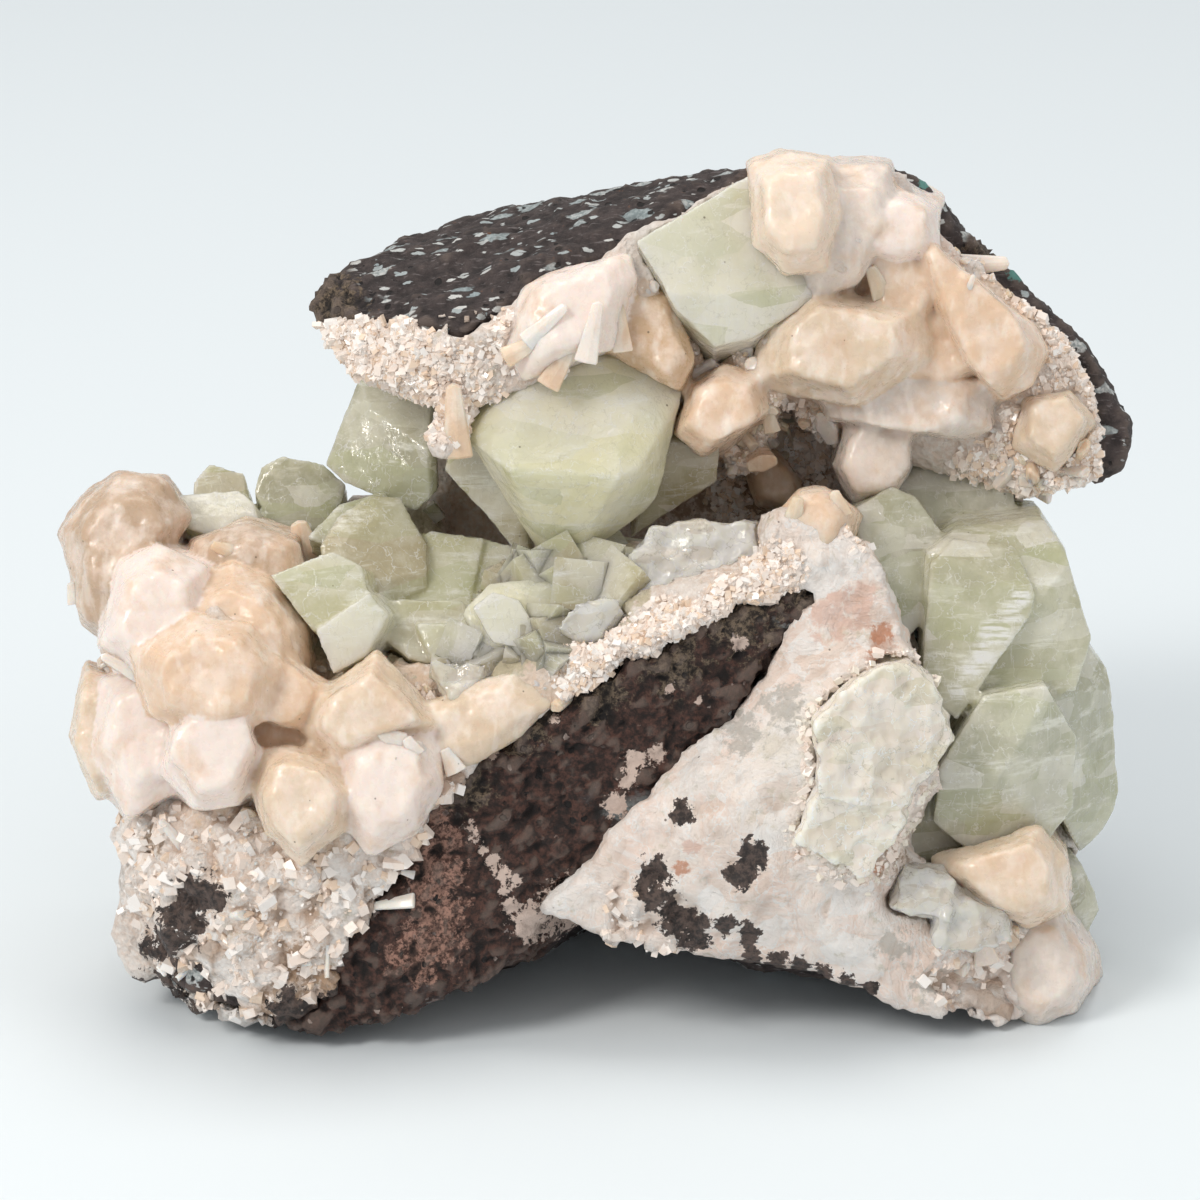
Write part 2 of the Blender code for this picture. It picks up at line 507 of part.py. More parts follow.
BED_MIDDLE = [
    ([(-21, 5, -8), (-17, 8.6, -6), (-10.5, 6.5, -7), (-8.5, 3, -9), (-9, -1, -13), (-16, -3, -15), (-21, -1, -13)],
     (0, 8, -7)),
    ([(-28.5, 0, -16), (-18, 0, -16), (-14, -5, -18), (-17.5, -9.4, -21), (-25, -7.5, -21), (-29, -4, -18)], (0, 8, -6)),
    ([(-17.8, -1.5, -19), (-14.5, 2.3, -16), (-6, 3, -16), (-2.5, 1.6, -17), (-5, -5, -20), (-11, -8.5, -22),
      (-16, -5, -21)], (0, 8, -7)),
    ([(-6, 0.8, -11), (-1, 4.6, -10), (3.5, 5.6, -10), (4, 1, -13), (-3, 0, -15)], (-2, 7, -7)),
]
BED_LEFT = [
    ([(-39, 4.4, -20), (-35, 6.3, -19), (-31, 4.4, -19), (-30, 0.2, -21), (-31, -1.3, -22), (-37, -4, -24),
      (-40.5, 0, -23), (-42.5, 3.2, -21)], (2, 8, -5)),
    ([(-37, -4, -25), (-30, 1, -21.5), (-27.5, -2, -22), (-31, -4, -24), (-30.5, -7.4, -25), (-34.7, -9.7, -26.5)],
     (2, 8, -3)),
    ([(-36.5, 7, -13), (-34, 11, -9), (-30, 13.6, -6), (-26, 13.4, -6), (-22.5, 7, -9), (-22.6, 1.4, -13), (-27.6, -0.8, -15.5),
      (-33, 1.6, -17), (-36, 4, -15)], (1, 8, -6)),
]
CLEAR_BLOCK = [
    ([(4, 5.5, -18), (6.3, 9, -16), (10, 10.2, -15), (20.5, 10.3, -14), (20.3, 4, -18), (14, 0.5, -20), (4.2, -0.5, -21)],
     (0, 8, -4)),
]
CLEAR_TABLETS = [
    ([(-5.5, -4, -25), (-3, 0, -24), (2, 0, -23), (3.5, -1.5, -23), (-1, -5.5, -25)], (1, 4, -5)),
]
CORNER_TABLET = [
    ([(-22, -8.2, -26), (-14.4, -8.2, -25.5), (-18, -14, -28.5), (-20, -12, -28)], (0, 3, -3)),
]
RIGHT_HEAP = [
    ([(33, 12, -6), (38, 14.7, -4), (41, 13.5, -4), (46, 7, -6), (44, -1, -12), (40, -5, -14), (34, 4, -12)], (0, 10, -3)),
    ([(44, 7, -12), (45.5, 8.5, -8), (54, 10.6, -4), (58, 10.3, -5), (60.5, 6.5, -7), (64, -5, -9), (59, -3, -18),
      (48, -13, -20), (43, -13, -19), (42, -4, -18), (55, 0, -20)], (0, 12, -2)),
    ([(62, -4, -6), (66, -9, -5), (67.6, -25, -5), (65.5, -30, -6), (62.5, -33, -8), (60, -28, -15), (58, -12, -17)],
     (-2, 14, 0)),
    ([(50, -12.5, -21), (58, -11, -20), (62, -18, -18), (61.5, -27, -18), (57, -33, -20), (49, -33.5, -23),
      (43.5, -29, -24), (44, -22, -24), (52, -23, -25)], (0, 12, -2)),
    ([(38, -23, -22), (44, -20, -20), (47, -32, -20), (42, -36, -22), (37, -30, -23)], (0, 9, -2)),
]
EDGE = [
    ([(60.2, -33.5, -8), (63, -34.5, -8), (65.2, -40.5, -9), (62.5, -45, -12), (60, -43.5, -15), (60, -36, -14)],
     (-3, 10, 1)),
]
CLEAVED = [
    ([(28, -16, -37), (31.8, -11.8, -34.5), (37, -8.6, -31), (40.4, -8.2, -29), (43, -10.7, -28), (45.8, -18.4, -29),
      (39.2, -27.7, -35), (28.5, -25.6, -38)], (0, 9, -2)),
    ([(28.5, -25, -38), (39.1, -27, -35), (39.8, -29, -35), (35, -36, -37), (30, -34, -38.5), (26, -30.6, -39)],
     (0, 9, 0)),
]
STEP_BLOCKS = [
    ([(39.6, -34.6, -30), (45.2, -34.9, -29), (46.5, -37, -31), (45.5, -42, -34), (38, -40, -34)], (0, 5, -2)),
    ([(44, -37.5, -32), (50, -39.6, -30), (53.3, -40.8, -29), (53.6, -44.5, -31), (49.3, -46, -33.5),
      (43.5, -45, -35)], (0, 8, 0)),
]
CAVITY_RIGHT = [
    ([(39.2, 18.6, 9), (49, 20, 7), (52, 18.4, 6), (53.6, 15.6, 4), (54.2, 11, 3), (49, 9, 2), (44, 8.5, 2),
      (41, 12, 3), (38.5, 15, 5)], (0, 9, 0)),
]

GREEN = material("apophyllite", APOPHYLLITE_COLOUR, 0.3)
CLEAR = material("clear apophyllite", CLEAR_COLOUR, 0.25)

APOPHYLLITES = {
    "apophyllite_roof_large": (ROOF_LARGE, GREEN),
    "apophyllite_roof_upper": (ROOF_UPPER, GREEN),
    "apophyllite_back_left": (BACK_LEFT, GREEN),
    "apophyllite_bed_back": (BED_BACK, GREEN),
    "apophyllite_bed_front": (BED_LEFT + BED_MIDDLE, GREEN),
    "apophyllite_clear_block": (CLEAR_BLOCK, CLEAR),
    "apophyllite_clear_tablets": (CLEAR_TABLETS, CLEAR),
    "apophyllite_corner_tablet": (CORNER_TABLET, CLEAR),
    "apophyllite_right_heap": (RIGHT_HEAP + CAVITY_RIGHT, GREEN),
    "apophyllite_right_edge": (EDGE, GREEN),
    "apophyllite_cleaved": (CLEAVED, CLEAR),
    "apophyllite_step_blocks": (STEP_BLOCKS, CLEAR),
}


def pocket(name, block, home):
    """A cutter for a flat-faced crystal: the same faces, each moved outwards by POCKET_GAP."""
    faces = block.copy()
    bmesh.ops.recalc_face_normals(faces, faces=faces.faces)
    bmesh.ops.dissolve_limit(faces, angle_limit=radians(1), verts=faces.verts, edges=faces.edges)
    outline = bmesh.new()
    bmesh.ops.create_cube(outline, size=100 * MM)
    bmesh.ops.translate(outline, verts=outline.verts, vec=sum((v.co for v in faces.verts), Vector()) / len(faces.verts))
    for face in faces.faces:
        cut(outline, face.calc_center_median() + face.normal * POCKET_GAP * MM, face.normal)
    faces.free()
    hide(add_object(name, outline, home))


def grown_together(name, blocks, finish, pockets):
    """One piece of crystals that have grown into each other."""
    home = collection(name + " crystals")
    for number, (corners, root) in enumerate(blocks):
        bm = bmesh.new()
        add_block(bm, corners, root)
        pocket(f"{name} pocket {number}", bm, pockets)
        obj = add_object(name if number == 0 else f"{name} {number}", bm, SPECIMEN if number == 0 else home)
        if number == 0:
            first = obj
        else:
            hide(obj)
    if len(blocks) > 1:
        boolean(first, "UNION", home)
        bake(first)
    first.data.materials.clear()
    first.data.materials.append(finish)
    return first


def rest_on_table(pieces):
    """Moves the specimen so that the middle of its footprint on the table is the origin."""
    bpy.context.view_layer.update()
    corners = [v.co for piece in pieces for v in piece.data.vertices]
    middle = [(min(c[k] for c in corners) + max(c[k] for c in corners)) / 2 for k in (0, 1)]
    shift = Vector((-middle[0], -middle[1], TABLE_BELOW_MIDDLE * MM))
    for piece in pieces:
        piece.data.transform(Matrix.Translation(shift))
    return shift


def flatten_feet(obj):
    """Cuts a piece flat where it stands on the table."""
    bm = bmesh.new()
    bm.from_mesh(obj.data)
    cut(bm, Vector((0, 0, -TABLE_BELOW_MIDDLE * MM)), Vector((0, 0, -1)))
    bm.to_mesh(obj.data)
    bm.free()


rock = basalt()
bake(rock)
pockets = collection("pockets")
crystals = [grown_together(name, blocks, finish, pockets) for name, (blocks, finish) in APOPHYLLITES.items()]
zeolite = material("zeolite", CRUST_COLOUR, 0.55)
bed_stilbites = stilbites("bed stilbites", BED_PILLOWS, BED_TABLETS)
roof_stilbites = stilbites("roof stilbites", ROOF_PILLOWS, ROOF_TABLETS)
bed = crust("zeolite_bed", BED_CRUST, bed_stilbites, zeolite, pockets, rock)
roof = crust("zeolite_roof", ROOF_CRUST, roof_stilbites, zeolite, pockets, rock, bed)
boolean(rock, "DIFFERENCE", pockets)
bake(rock)
flatten_feet(rock)
flatten_feet(bed)
SHIFT = rest_on_table([rock, bed, roof, *crystals])
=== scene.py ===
"""A cabinet specimen of apophyllite and stilbite on basalt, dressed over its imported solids."""

import math

import bmesh
import bpy
import numpy as np
from mathutils import Matrix, Vector
from mathutils.bvhtree import BVHTree


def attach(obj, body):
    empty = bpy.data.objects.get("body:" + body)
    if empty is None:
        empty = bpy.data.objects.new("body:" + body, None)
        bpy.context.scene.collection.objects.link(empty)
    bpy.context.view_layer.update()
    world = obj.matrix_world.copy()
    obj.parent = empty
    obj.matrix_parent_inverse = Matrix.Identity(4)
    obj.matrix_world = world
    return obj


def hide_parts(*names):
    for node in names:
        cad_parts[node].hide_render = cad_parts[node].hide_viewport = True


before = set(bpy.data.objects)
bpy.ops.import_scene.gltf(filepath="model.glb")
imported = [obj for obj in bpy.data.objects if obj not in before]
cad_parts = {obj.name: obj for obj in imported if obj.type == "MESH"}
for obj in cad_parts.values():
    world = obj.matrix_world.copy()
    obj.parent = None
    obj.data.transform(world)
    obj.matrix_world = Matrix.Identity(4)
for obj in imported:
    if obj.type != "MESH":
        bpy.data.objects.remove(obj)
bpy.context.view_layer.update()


# The view. The specimen is seen from the front and a little above. A place on it is given as it is seen:
# (across, up) in the view through its middle, and how far back it lies, all in millimetres.

MM = 0.001
EYE_TILT = math.radians(20)
EYE_DISTANCE = 650.0
VIEW_WIDTH = 156.24
SENSOR_WIDTH = 36.0
VIEW_MIDDLE = Vector((-0.094, -6.108, 49.0))
EYE = Vector((0, -EYE_DISTANCE * math.cos(EYE_TILT), EYE_DISTANCE * math.sin(EYE_TILT)))


def seen(across, up, back):
    """The point, in metres, that shows at (across, up) and lies that far back."""
    in_view = Vector((across, up * math.sin(EYE_TILT), up * math.cos(EYE_TILT)))
    reach = (back - EYE.y) / (in_view.y - EYE.y)
    return (VIEW_MIDDLE + EYE + reach * (in_view - EYE)) * MM


def shown(places):
    """Where points show in the view: rows of across, up and how far back they lie."""
    out = places / MM - np.array(VIEW_MIDDLE + EYE)
    away = out[:, 1] * math.cos(EYE_TILT) - out[:, 2] * math.sin(EYE_TILT)
    height = out[:, 1] * math.sin(EYE_TILT) + out[:, 2] * math.cos(EYE_TILT)
    size = EYE_DISTANCE / away
    return np.column_stack([out[:, 0] * size, height * size, places[:, 1] / MM - VIEW_MIDDLE.y])


camera = bpy.data.objects.new("camera", bpy.data.cameras.new("camera"))
bpy.context.scene.collection.objects.link(camera)
camera.location = (VIEW_MIDDLE + EYE) * MM
camera.rotation_euler = (math.pi / 2 - EYE_TILT, 0, 0)
camera.data.sensor_width = SENSOR_WIDTH
camera.data.lens = SENSOR_WIDTH * EYE_DISTANCE / VIEW_WIDTH
camera.data.clip_start = 0.01
bpy.context.scene.camera = camera


# The table: a wide pale sheet that the specimen stands on, under soft light from large panels overhead,
# with the same pale grey-blue all round.

TABLE_SIZE = 6.0
TABLE_COLOUR = (0.78, 0.84, 0.88, 1)
ROOM_COLOUR = (0.90, 0.91, 0.91, 1)
ROOM_STRENGTH = 0.65
PANEL_COLOUR = (1.0, 0.955, 0.90)
# Each panel: its name, place in metres, size and power in watts
PANELS = [
    ("left panel", (-0.75, -0.75, 0.95), 0.40, 8.6),
    ("right panel", (0.85, -0.55, 0.75), 0.6, 1.3),
    ("top panel", (0.0, 0.15, 1.15), 0.6, 3.8),
]

bpy.ops.object.select_all(action="DESELECT")
bpy.ops.mesh.primitive_plane_add(size=TABLE_SIZE, location=(0, 0, 0))
table = bpy.context.object
table.name = "table"
table_paper = bpy.data.materials.new("pale paper")
table_paper.use_nodes = True
paper_shader = table_paper.node_tree.nodes["Principled BSDF"]
paper_shader.inputs["Base Color"].default_value = TABLE_COLOUR
paper_shader.inputs["Roughness"].default_value = 0.9
paper_shader.inputs["Specular IOR Level"].default_value = 0.1
table.data.materials.append(table_paper)

for panel_name, place, width, watts in PANELS:
    panel = bpy.data.objects.new(panel_name, bpy.data.lights.new(panel_name, "AREA"))
    bpy.context.scene.collection.objects.link(panel)
    panel.data.shape = "SQUARE"
    panel.data.size = width
    panel.data.energy = watts
    panel.data.color = PANEL_COLOUR
    panel.location = place
    towards = VIEW_MIDDLE * MM - Vector(place)
    panel.rotation_euler = towards.to_track_quat("-Z", "Y").to_euler()

room = bpy.data.worlds.new("room")
bpy.context.scene.world = room
room.use_nodes = True
room.node_tree.nodes["Background"].inputs["Color"].default_value = ROOM_COLOUR
room.node_tree.nodes["Background"].inputs["Strength"].default_value = ROOM_STRENGTH
bpy.context.scene.view_settings.view_transform = "Standard"


# The basalt: one broken stone, dark purple-brown with gas bubbles, most of them filled with pale minerals.
# Its own solid is merged into one fine skin, then roughened and pitted.

BASALT_SKIN = 0.8
BASALT_DARK = (0.020, 0.014, 0.014, 1)
BASALT_LIGHT = (0.088, 0.066, 0.063, 1)
STRIP_BROWN = (0.105, 0.046, 0.033, 1)
BUBBLE_GREY = (0.36, 0.43, 0.45, 1)
BUBBLE_WHITE = (0.76, 0.76, 0.74, 1)
RUST = (0.20, 0.085, 0.04, 1)
TERRACOTTA = (0.44, 0.245, 0.185, 1)
OLIVE_TAN = (0.21, 0.155, 0.105, 1)
FLOW_TURN = (0.35, 0.42, 0.2)
LOOSE_GAP = 0.01
WEIGHT_STEPS = 20
# A patch is a round place on the surface: where it shows (across, up), how far back it lies, and its radius.
# It reaches at least this far back and forth, and it comes in this many times as fast as its strength grows.
PATCH_DEPTH = 20.0
PATCH_GAIN = 3
STRIP_PLACES = [
    (-24, -38, -30, 16), (-12, -26, -29, 14), (2, -16, -28, 13), (16, -6, -25, 10), (26, 2, -22, 6),
    (-4, -36, -29, 12), (10, -16, -27, 8), (-14, -46, -30, 13), (-32, -50, -30, 12), (4, -40, -28, 10),
]
TERRACOTTA_PLACES = [(-23, -30, -30, 4.5), (-21.5, -36, -30, 5), (-21, -42, -30, 5), (-23, -46, -30, 5)]
OLIVE_PLACES = [
    (-37, 40, 0, 7), (-35, 38, -2, 6), (50, 46, 12, 3), (-18, -24, -29, 5), (26, 2, -22, 6),
    (18, -3, -24, 6), (10, -8, -26, 6), (0, -12, -28, 5), (-10, -16, -29, 5),
]
TEAL_PLACES = [(42.5, 54.5, 8, 1.4), (54.5, 43, 10, 1.8), (52, 45.5, 10, 1.0), (-29, 31.5, -4, 1.6)]
# White crust on the dark strip: patches and a branching vein
WHITE_PLACES = [
    (4.4, -21, -28, 1.7), (3.6, -23.6, -28, 1.5), (2, -26.8, -28, 1.9), (7.3, -20.1, -27, 1.5),
    (18.2, -5.6, -24, 1.2), (-4.5, -40.5, -30, 4.6), (-9, -42, -30, 3), (0, -37, -29, 2.4),
    (-16.9, -29.3, -30, 0.9), (-16.4, -31, -30, 0.9), (-15.2, -32.6, -30, 0.9), (-14, -34, -30, 1.1),
    (-12.6, -35.6, -30, 1.3), (-12.4, -37.8, -30, 1.1), (-11.6, -39.8, -30, 1.4), (-10.8, -36.6, -30, 1),
    (-14.2, -20, -29, 1.0), (-6, -15.6, -28, 0.9), (9, -11.4, -27, 0.9), (13, -13, -26, 0.8),
]


def choose(obj):
    """Selects one object alone and makes it active."""
    bpy.ops.object.select_all(action="DESELECT")
    obj.select_set(True)
    bpy.context.view_layer.objects.active = obj


def copy_of(node, name):
    """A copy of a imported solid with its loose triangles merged."""
    obj = bpy.data.objects.new(name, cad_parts[node].data.copy())
    bpy.context.scene.collection.objects.link(obj)
    obj.data.materials.clear()
    choose(obj)
    bpy.ops.object.mode_set(mode="EDIT")
    bpy.ops.mesh.select_all(action="SELECT")
    bpy.ops.mesh.remove_doubles(threshold=LOOSE_GAP * MM)
    bpy.ops.object.mode_set(mode="OBJECT")
    return obj


def apply(obj, kind, **settings):
    """Adds a modifier to an object and applies it."""
    made = obj.modifiers.new(kind.lower(), kind)
    for key, value in settings.items():
        setattr(made, key, value)
    choose(obj)
    bpy.ops.object.modifier_apply(modifier=made.name)


def fine_skin(obj, size):
    apply(obj, "REMESH", mode="VOXEL", voxel_size=size * MM, use_smooth_shade=True)


def roughen(obj, kind, size, height, group=""):
    """Pushes the skin in and out by a noise of that size and height in millimetres."""
    texture = bpy.data.textures.new(f"{obj.name} {kind} {size}", kind)
    texture.noise_scale = size * MM
    if kind == "CLOUDS":
        texture.noise_depth = 3
    apply(obj, "DISPLACE", texture=texture, strength=height * MM, mid_level=0.5, vertex_group=group)


def places_of(obj):
    """Every point of an object's mesh as rows of x, y, z."""
    flat = np.empty(len(obj.data.vertices) * 3)
    obj.data.vertices.foreach_get("co", flat)
    return flat.reshape(-1, 3)


def stand_flat(obj):
    """Keeps the roughened skin from sinking into the table."""
    places = places_of(obj)
    places[:, 2] = np.maximum(places[:, 2], 0.0)
    obj.data.vertices.foreach_set("co", places.ravel())
    obj.data.update()


def store(obj, name, values):
    obj.data.attributes.new(name, "FLOAT", "POINT").data.foreach_set("value", values)


def weigh(obj, name, weights):
    """Makes a vertex group from one weight for each point."""
    group = obj.vertex_groups.new(name=name)
    levels = np.round(np.clip(weights, 0, 1) * WEIGHT_STEPS) / WEIGHT_STEPS
    for level in np.unique(levels[levels > 0]):
        group.add(np.nonzero(levels == level)[0].tolist(), float(level), "REPLACE")


def strength_of(obj, patches):
    """How far each point is inside some round patches: 1 in their middles, 0 on their rims, -1 far out."""
    spots_seen = shown(places_of(obj))
    strength = np.full(len(spots_seen), -1.0)
    for across, up, back, radius in patches:
        reach = np.array([radius, radius, max(radius, PATCH_DEPTH)])
        away = np.linalg.norm((spots_seen - (across, up, back)) / reach, axis=1)
        strength = np.maximum(strength, 1 - away)
    return strength


def know_hollows(obj, reach, passes):
    """Stores how far each point stands out of its surroundings: from -1 in a hollow to 1 on a ridge."""
    softened = obj.copy()
    softened.data = obj.data.copy()
    bpy.context.scene.collection.objects.link(softened)
    apply(softened, "SMOOTH", factor=0.6, iterations=passes)
    normals = np.empty(len(obj.data.vertices) * 3)
    obj.data.vertex_normals.foreach_get("vector", normals)
    stands = ((places_of(obj) - places_of(softened)) * normals.reshape(-1, 3)).sum(axis=1) / (reach * MM)
    bpy.data.objects.remove(softened, do_unlink=True)
    store(obj, "ridge", np.clip(stands, -1, 1))


def new_material(name):
    """A node material: returns it, its tree and its Principled shader."""
    made = bpy.data.materials.new(name)
    made.use_nodes = True
    return made, made.node_tree, made.node_tree.nodes["Principled BSDF"]


def add(tree, kind, inputs=None, **settings):
    """Adds a shader node. Each of its inputs is a value or another node's output."""
    made = tree.nodes.new("ShaderNode" + kind)
    for key, value in settings.items():
        setattr(made, key, value)
    for key, value in (inputs or {}).items():
        if isinstance(value, bpy.types.NodeSocket):
            tree.links.new(value, made.inputs[key])
        else:
            made.inputs[key].default_value = value
    return made


def noise_of(tree, where, size, detail=4.0, rough=0.55):
    """Cloudy noise from 0 to 1, with blotches about that many millimetres across."""
    sockets = {"Vector": where, "Scale": 1 / (size * MM), "Detail": detail, "Roughness": rough}
    return add(tree, "TexNoise", sockets).outputs["Fac"]


def ramp(tree, factor, low, high, start=0.0, end=1.0):
    """Goes smoothly from start to end while the factor goes from low to high."""
    sockets = {"Value": factor, "From Min": low, "From Max": high, "To Min": start, "To Max": end}
    return add(tree, "MapRange", sockets, interpolation_type="SMOOTHSTEP").outputs["Result"]


def mix(tree, factor, below, above):
    """Lays one colour over another by a factor."""
    made = add(tree, "Mix", data_type="RGBA")
    for index, value in ((0, factor), (6, below), (7, above)):
        if isinstance(value, bpy.types.NodeSocket):
            tree.links.new(value, made.inputs[index])
        else:
            made.inputs[index].default_value = value
    return made.outputs[2]


def layered(tree, colour, layers):
    """Lays tints over a colour. A layer is its factor, the range it comes in over, its share and its tint."""
    for factor, low, high, share, tint in layers:
        colour = mix(tree, ramp(tree, factor, low, high, 0.0, share), colour, tint)
    return colour


def maths(tree, operation, first, second=0.0):
    return add(tree, "Math", {0: first, 1: second}, operation=operation).outputs[0]


def times(tree, first, second):
    return maths(tree, "MULTIPLY", first, second)


def attribute(tree, name):
    return add(tree, "Attribute", attribute_name=name).outputs["Fac"]


def object_place(tree, turn=(0, 0, 0), scale=(1, 1, 1)):
    where = add(tree, "TexCoord").outputs["Object"]
    return add(tree, "Mapping", {"Vector": where, "Rotation": turn, "Scale": scale}).outputs["Vector"]


def wobble(tree, where, size, reach):
    """Bends a place by a noise, so that shapes drawn there get ragged outlines."""
    noise = add(tree, "TexNoise", {"Vector": where, "Scale": 1 / (size * MM), "Detail": 3.0})
    centred = add(tree, "VectorMath", {0: noise.outputs["Color"], 1: (0.5, 0.5, 0.5)}, operation="SUBTRACT")
    scaled = add(tree, "VectorMath", {0: centred.outputs[0], "Scale": reach * MM}, operation="SCALE")
    return add(tree, "VectorMath", {0: where, 1: scaled.outputs[0]}, operation="ADD").outputs[0]


def cells_of(tree, where, size):
    """Jittered cells that many millimetres across: how far from its middle a place is, and a random colour."""
    cells = add(tree, "TexVoronoi", {"Vector": where, "Scale": 1 / (size * MM)})
    return cells.outputs["Distance"], add(tree, "SeparateColor", {"Color": cells.outputs["Color"]}).outputs


def spots(tree, where, spacing, size, share):
    """Spots on a jittered grid, 1 inside, and a tone for each. size is a part of the spacing, and share is
    how many of them show."""
    distance, picked = cells_of(tree, where, spacing)
    listed = maths(tree, "LESS_THAN", picked["Red"], share)
    width = times(tree, ramp(tree, picked["Green"], 0, 1, 0.45, 1.0), size)
    inside = maths(tree, "SUBTRACT", width, distance)
    return times(tree, listed, ramp(tree, inside, 0.0, 0.06)), picked["Blue"]


def zone(tree, name, where, size, reach, low, high):
    """A painted zone with a ragged border: 1 well inside it."""
    ragged_border = ramp(tree, noise_of(tree, where, size, 6, 0.68), 0.3, 0.7, -reach, reach)
    return ramp(tree, maths(tree, "ADD", attribute(tree, name), ragged_border), low, high)


def lay_on(tree, shader, colour, roughness, height, strength, depth):
    """Gives the shader its colour, its roughness and a relief of that depth in millimetres."""
    bump = add(tree, "Bump", {"Height": height, "Strength": strength, "Distance": depth * MM})
    tree.links.new(colour, shader.inputs["Base Color"])
    tree.links.new(roughness, shader.inputs["Roughness"])
    tree.links.new(bump.outputs["Normal"], shader.inputs["Normal"])


basalt = copy_of("basalt_matrix", "basalt")
fine_skin(basalt, BASALT_SKIN)
apply(basalt, "SMOOTH", factor=0.5, iterations=2)
weigh(basalt, "craggy", strength_of(basalt, OLIVE_PLACES + STRIP_PLACES) * PATCH_GAIN)
roughen(basalt, "CLOUDS", 5.0, 1.7)
roughen(basalt, "CLOUDS", 1.8, 1.2)
roughen(basalt, "CLOUDS", 2.8, 3.4, "craggy")
roughen(basalt, "CLOUDS", 1.2, 1.6, "craggy")
stand_flat(basalt)
know_hollows(basalt, 0.6, 14)
for kind, patches in (("strip", STRIP_PLACES), ("terracotta", TERRACOTTA_PLACES), ("olive", OLIVE_PLACES),
                      ("teal", TEAL_PLACES), ("white", WHITE_PLACES)):
    store(basalt, kind, strength_of(basalt, patches))

stone, tree, shader = new_material("basalt")
place = object_place(tree)
ridge = attribute(tree, "ridge")
colour = mix(tree, ramp(tree, noise_of(tree, place, 2.2, 8, 0.75), 0.3, 0.72), BASALT_DARK, BASALT_LIGHT)
streaks = noise_of(tree, object_place(tree, turn=FLOW_TURN, scale=(0.25, 1.4, 1.4)), 0.55, 3)
colour = layered(tree, colour, [(streaks, 0.58, 0.70, 0.55, (0.24, 0.21, 0.21, 1))])
# Gritty ground by zones: how its border runs, the size of its grit, where that turns light, its two tones
grounds = [
    ("strip", (2.0, 0.3, 0.0, 0.3), 0.8, (0.4, 0.62), (0.020, 0.011, 0.009, 1), STRIP_BROWN),
    ("terracotta", (2.4, 0.6, 0.1, 0.5), 0.6, (0.4, 0.6), (0.070, 0.036, 0.028, 1), TERRACOTTA),
    ("olive", (1.6, 0.5, 0.25, 0.5), 0.7, (0.42, 0.6), (0.022, 0.015, 0.011, 1), OLIVE_TAN),
]
for kind, border, size, rise, dark, light in grounds:
    grit = mix(tree, ramp(tree, noise_of(tree, place, size, 6, 0.75), *rise), dark, light)
    colour = mix(tree, zone(tree, kind, place, *border), colour, grit)
colour = layered(tree, colour, [(noise_of(tree, place, 1.1, 4, 0.6), 0.66, 0.74, 0.6, RUST)])
# Filled gas bubbles in two sizes, rubbed off where the stone is broken, and pale chips there
flow = object_place(tree, turn=FLOW_TURN, scale=(0.42, 1.0, 1.0))
large_spots, large_tone = spots(tree, wobble(tree, flow, 1.2, 1.8), 3.0, 0.44, 0.62)
small_spots, small_tone = spots(tree, wobble(tree, flow, 0.6, 0.8), 1.2, 0.40, 0.55)
mottled = layered(tree, mix(tree, large_tone, BUBBLE_GREY, BUBBLE_WHITE),
                  [(noise_of(tree, place, 0.5, 3), 0.35, 0.65, 0.8, (0.20, 0.25, 0.26, 1))])
broken = maths(tree, "MAXIMUM", attribute(tree, "olive"), attribute(tree, "strip"))
sound = ramp(tree, broken, 0.0, 0.3, 1, 0.0)
colour = mix(tree, times(tree, large_spots, sound), colour, mottled)
colour = mix(tree, times(tree, small_spots, sound), colour, mix(tree, small_tone, BUBBLE_WHITE, BUBBLE_GREY))
chips, chip_tone = spots(tree, wobble(tree, place, 0.7, 1.1), 1.5, 0.34, 0.3)
chips = times(tree, chips, ramp(tree, noise_of(tree, place, 5.0, 3), 0.42, 0.58))
colour = mix(tree, times(tree, chips, maths(tree, "SUBTRACT", 0.9, sound)), colour,
             mix(tree, chip_tone, (0.62, 0.50, 0.44, 1), (0.24, 0.19, 0.18, 1)))
pits = spots(tree, wobble(tree, place, 0.8, 0.7), 2.1, 0.28, 0.5)[0]
colour = mix(tree, pits, colour, (0.010, 0.007, 0.007, 1))
# Painted shade darkens the hollows, and painted light makes the ridges paler
colour = layered(tree, colour, [
    (ridge, 0.0, -0.8, 0.9, (0.008, 0.006, 0.006, 1)),
    (ridge, 0.15, 0.8, 0.5, (0.20, 0.150, 0.125, 1)),
])
colour = mix(tree, zone(tree, "teal", place, 1.0, 0.3, 0.1, 0.3), colour, (0.12, 0.30, 0.27, 1))
colour = mix(tree, zone(tree, "white", place, 0.9, 0.4, 0.12, 0.3), colour, (0.74, 0.58, 0.50, 1))
height = maths(tree, "SUBTRACT", noise_of(tree, place, 0.7, 6, 0.75), times(tree, pits, 1.4))
lay_on(tree, shader, colour, ramp(tree, large_spots, 0, 1, 0.75, 0.5), height, 1.0, 0.5)
basalt.data.materials.append(stone)
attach(basalt, "root")
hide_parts("basalt_matrix")


# The zeolite crust: white to pink, sugary, broken or fibrous by places, peach between the large crystals.
# Each crust is its own solid in one fine skin, with a relief for each kind of surface.

BED_SKIN = 0.72
ROOF_SKIN = 0.58
PEACH = (0.73, 0.54, 0.39)
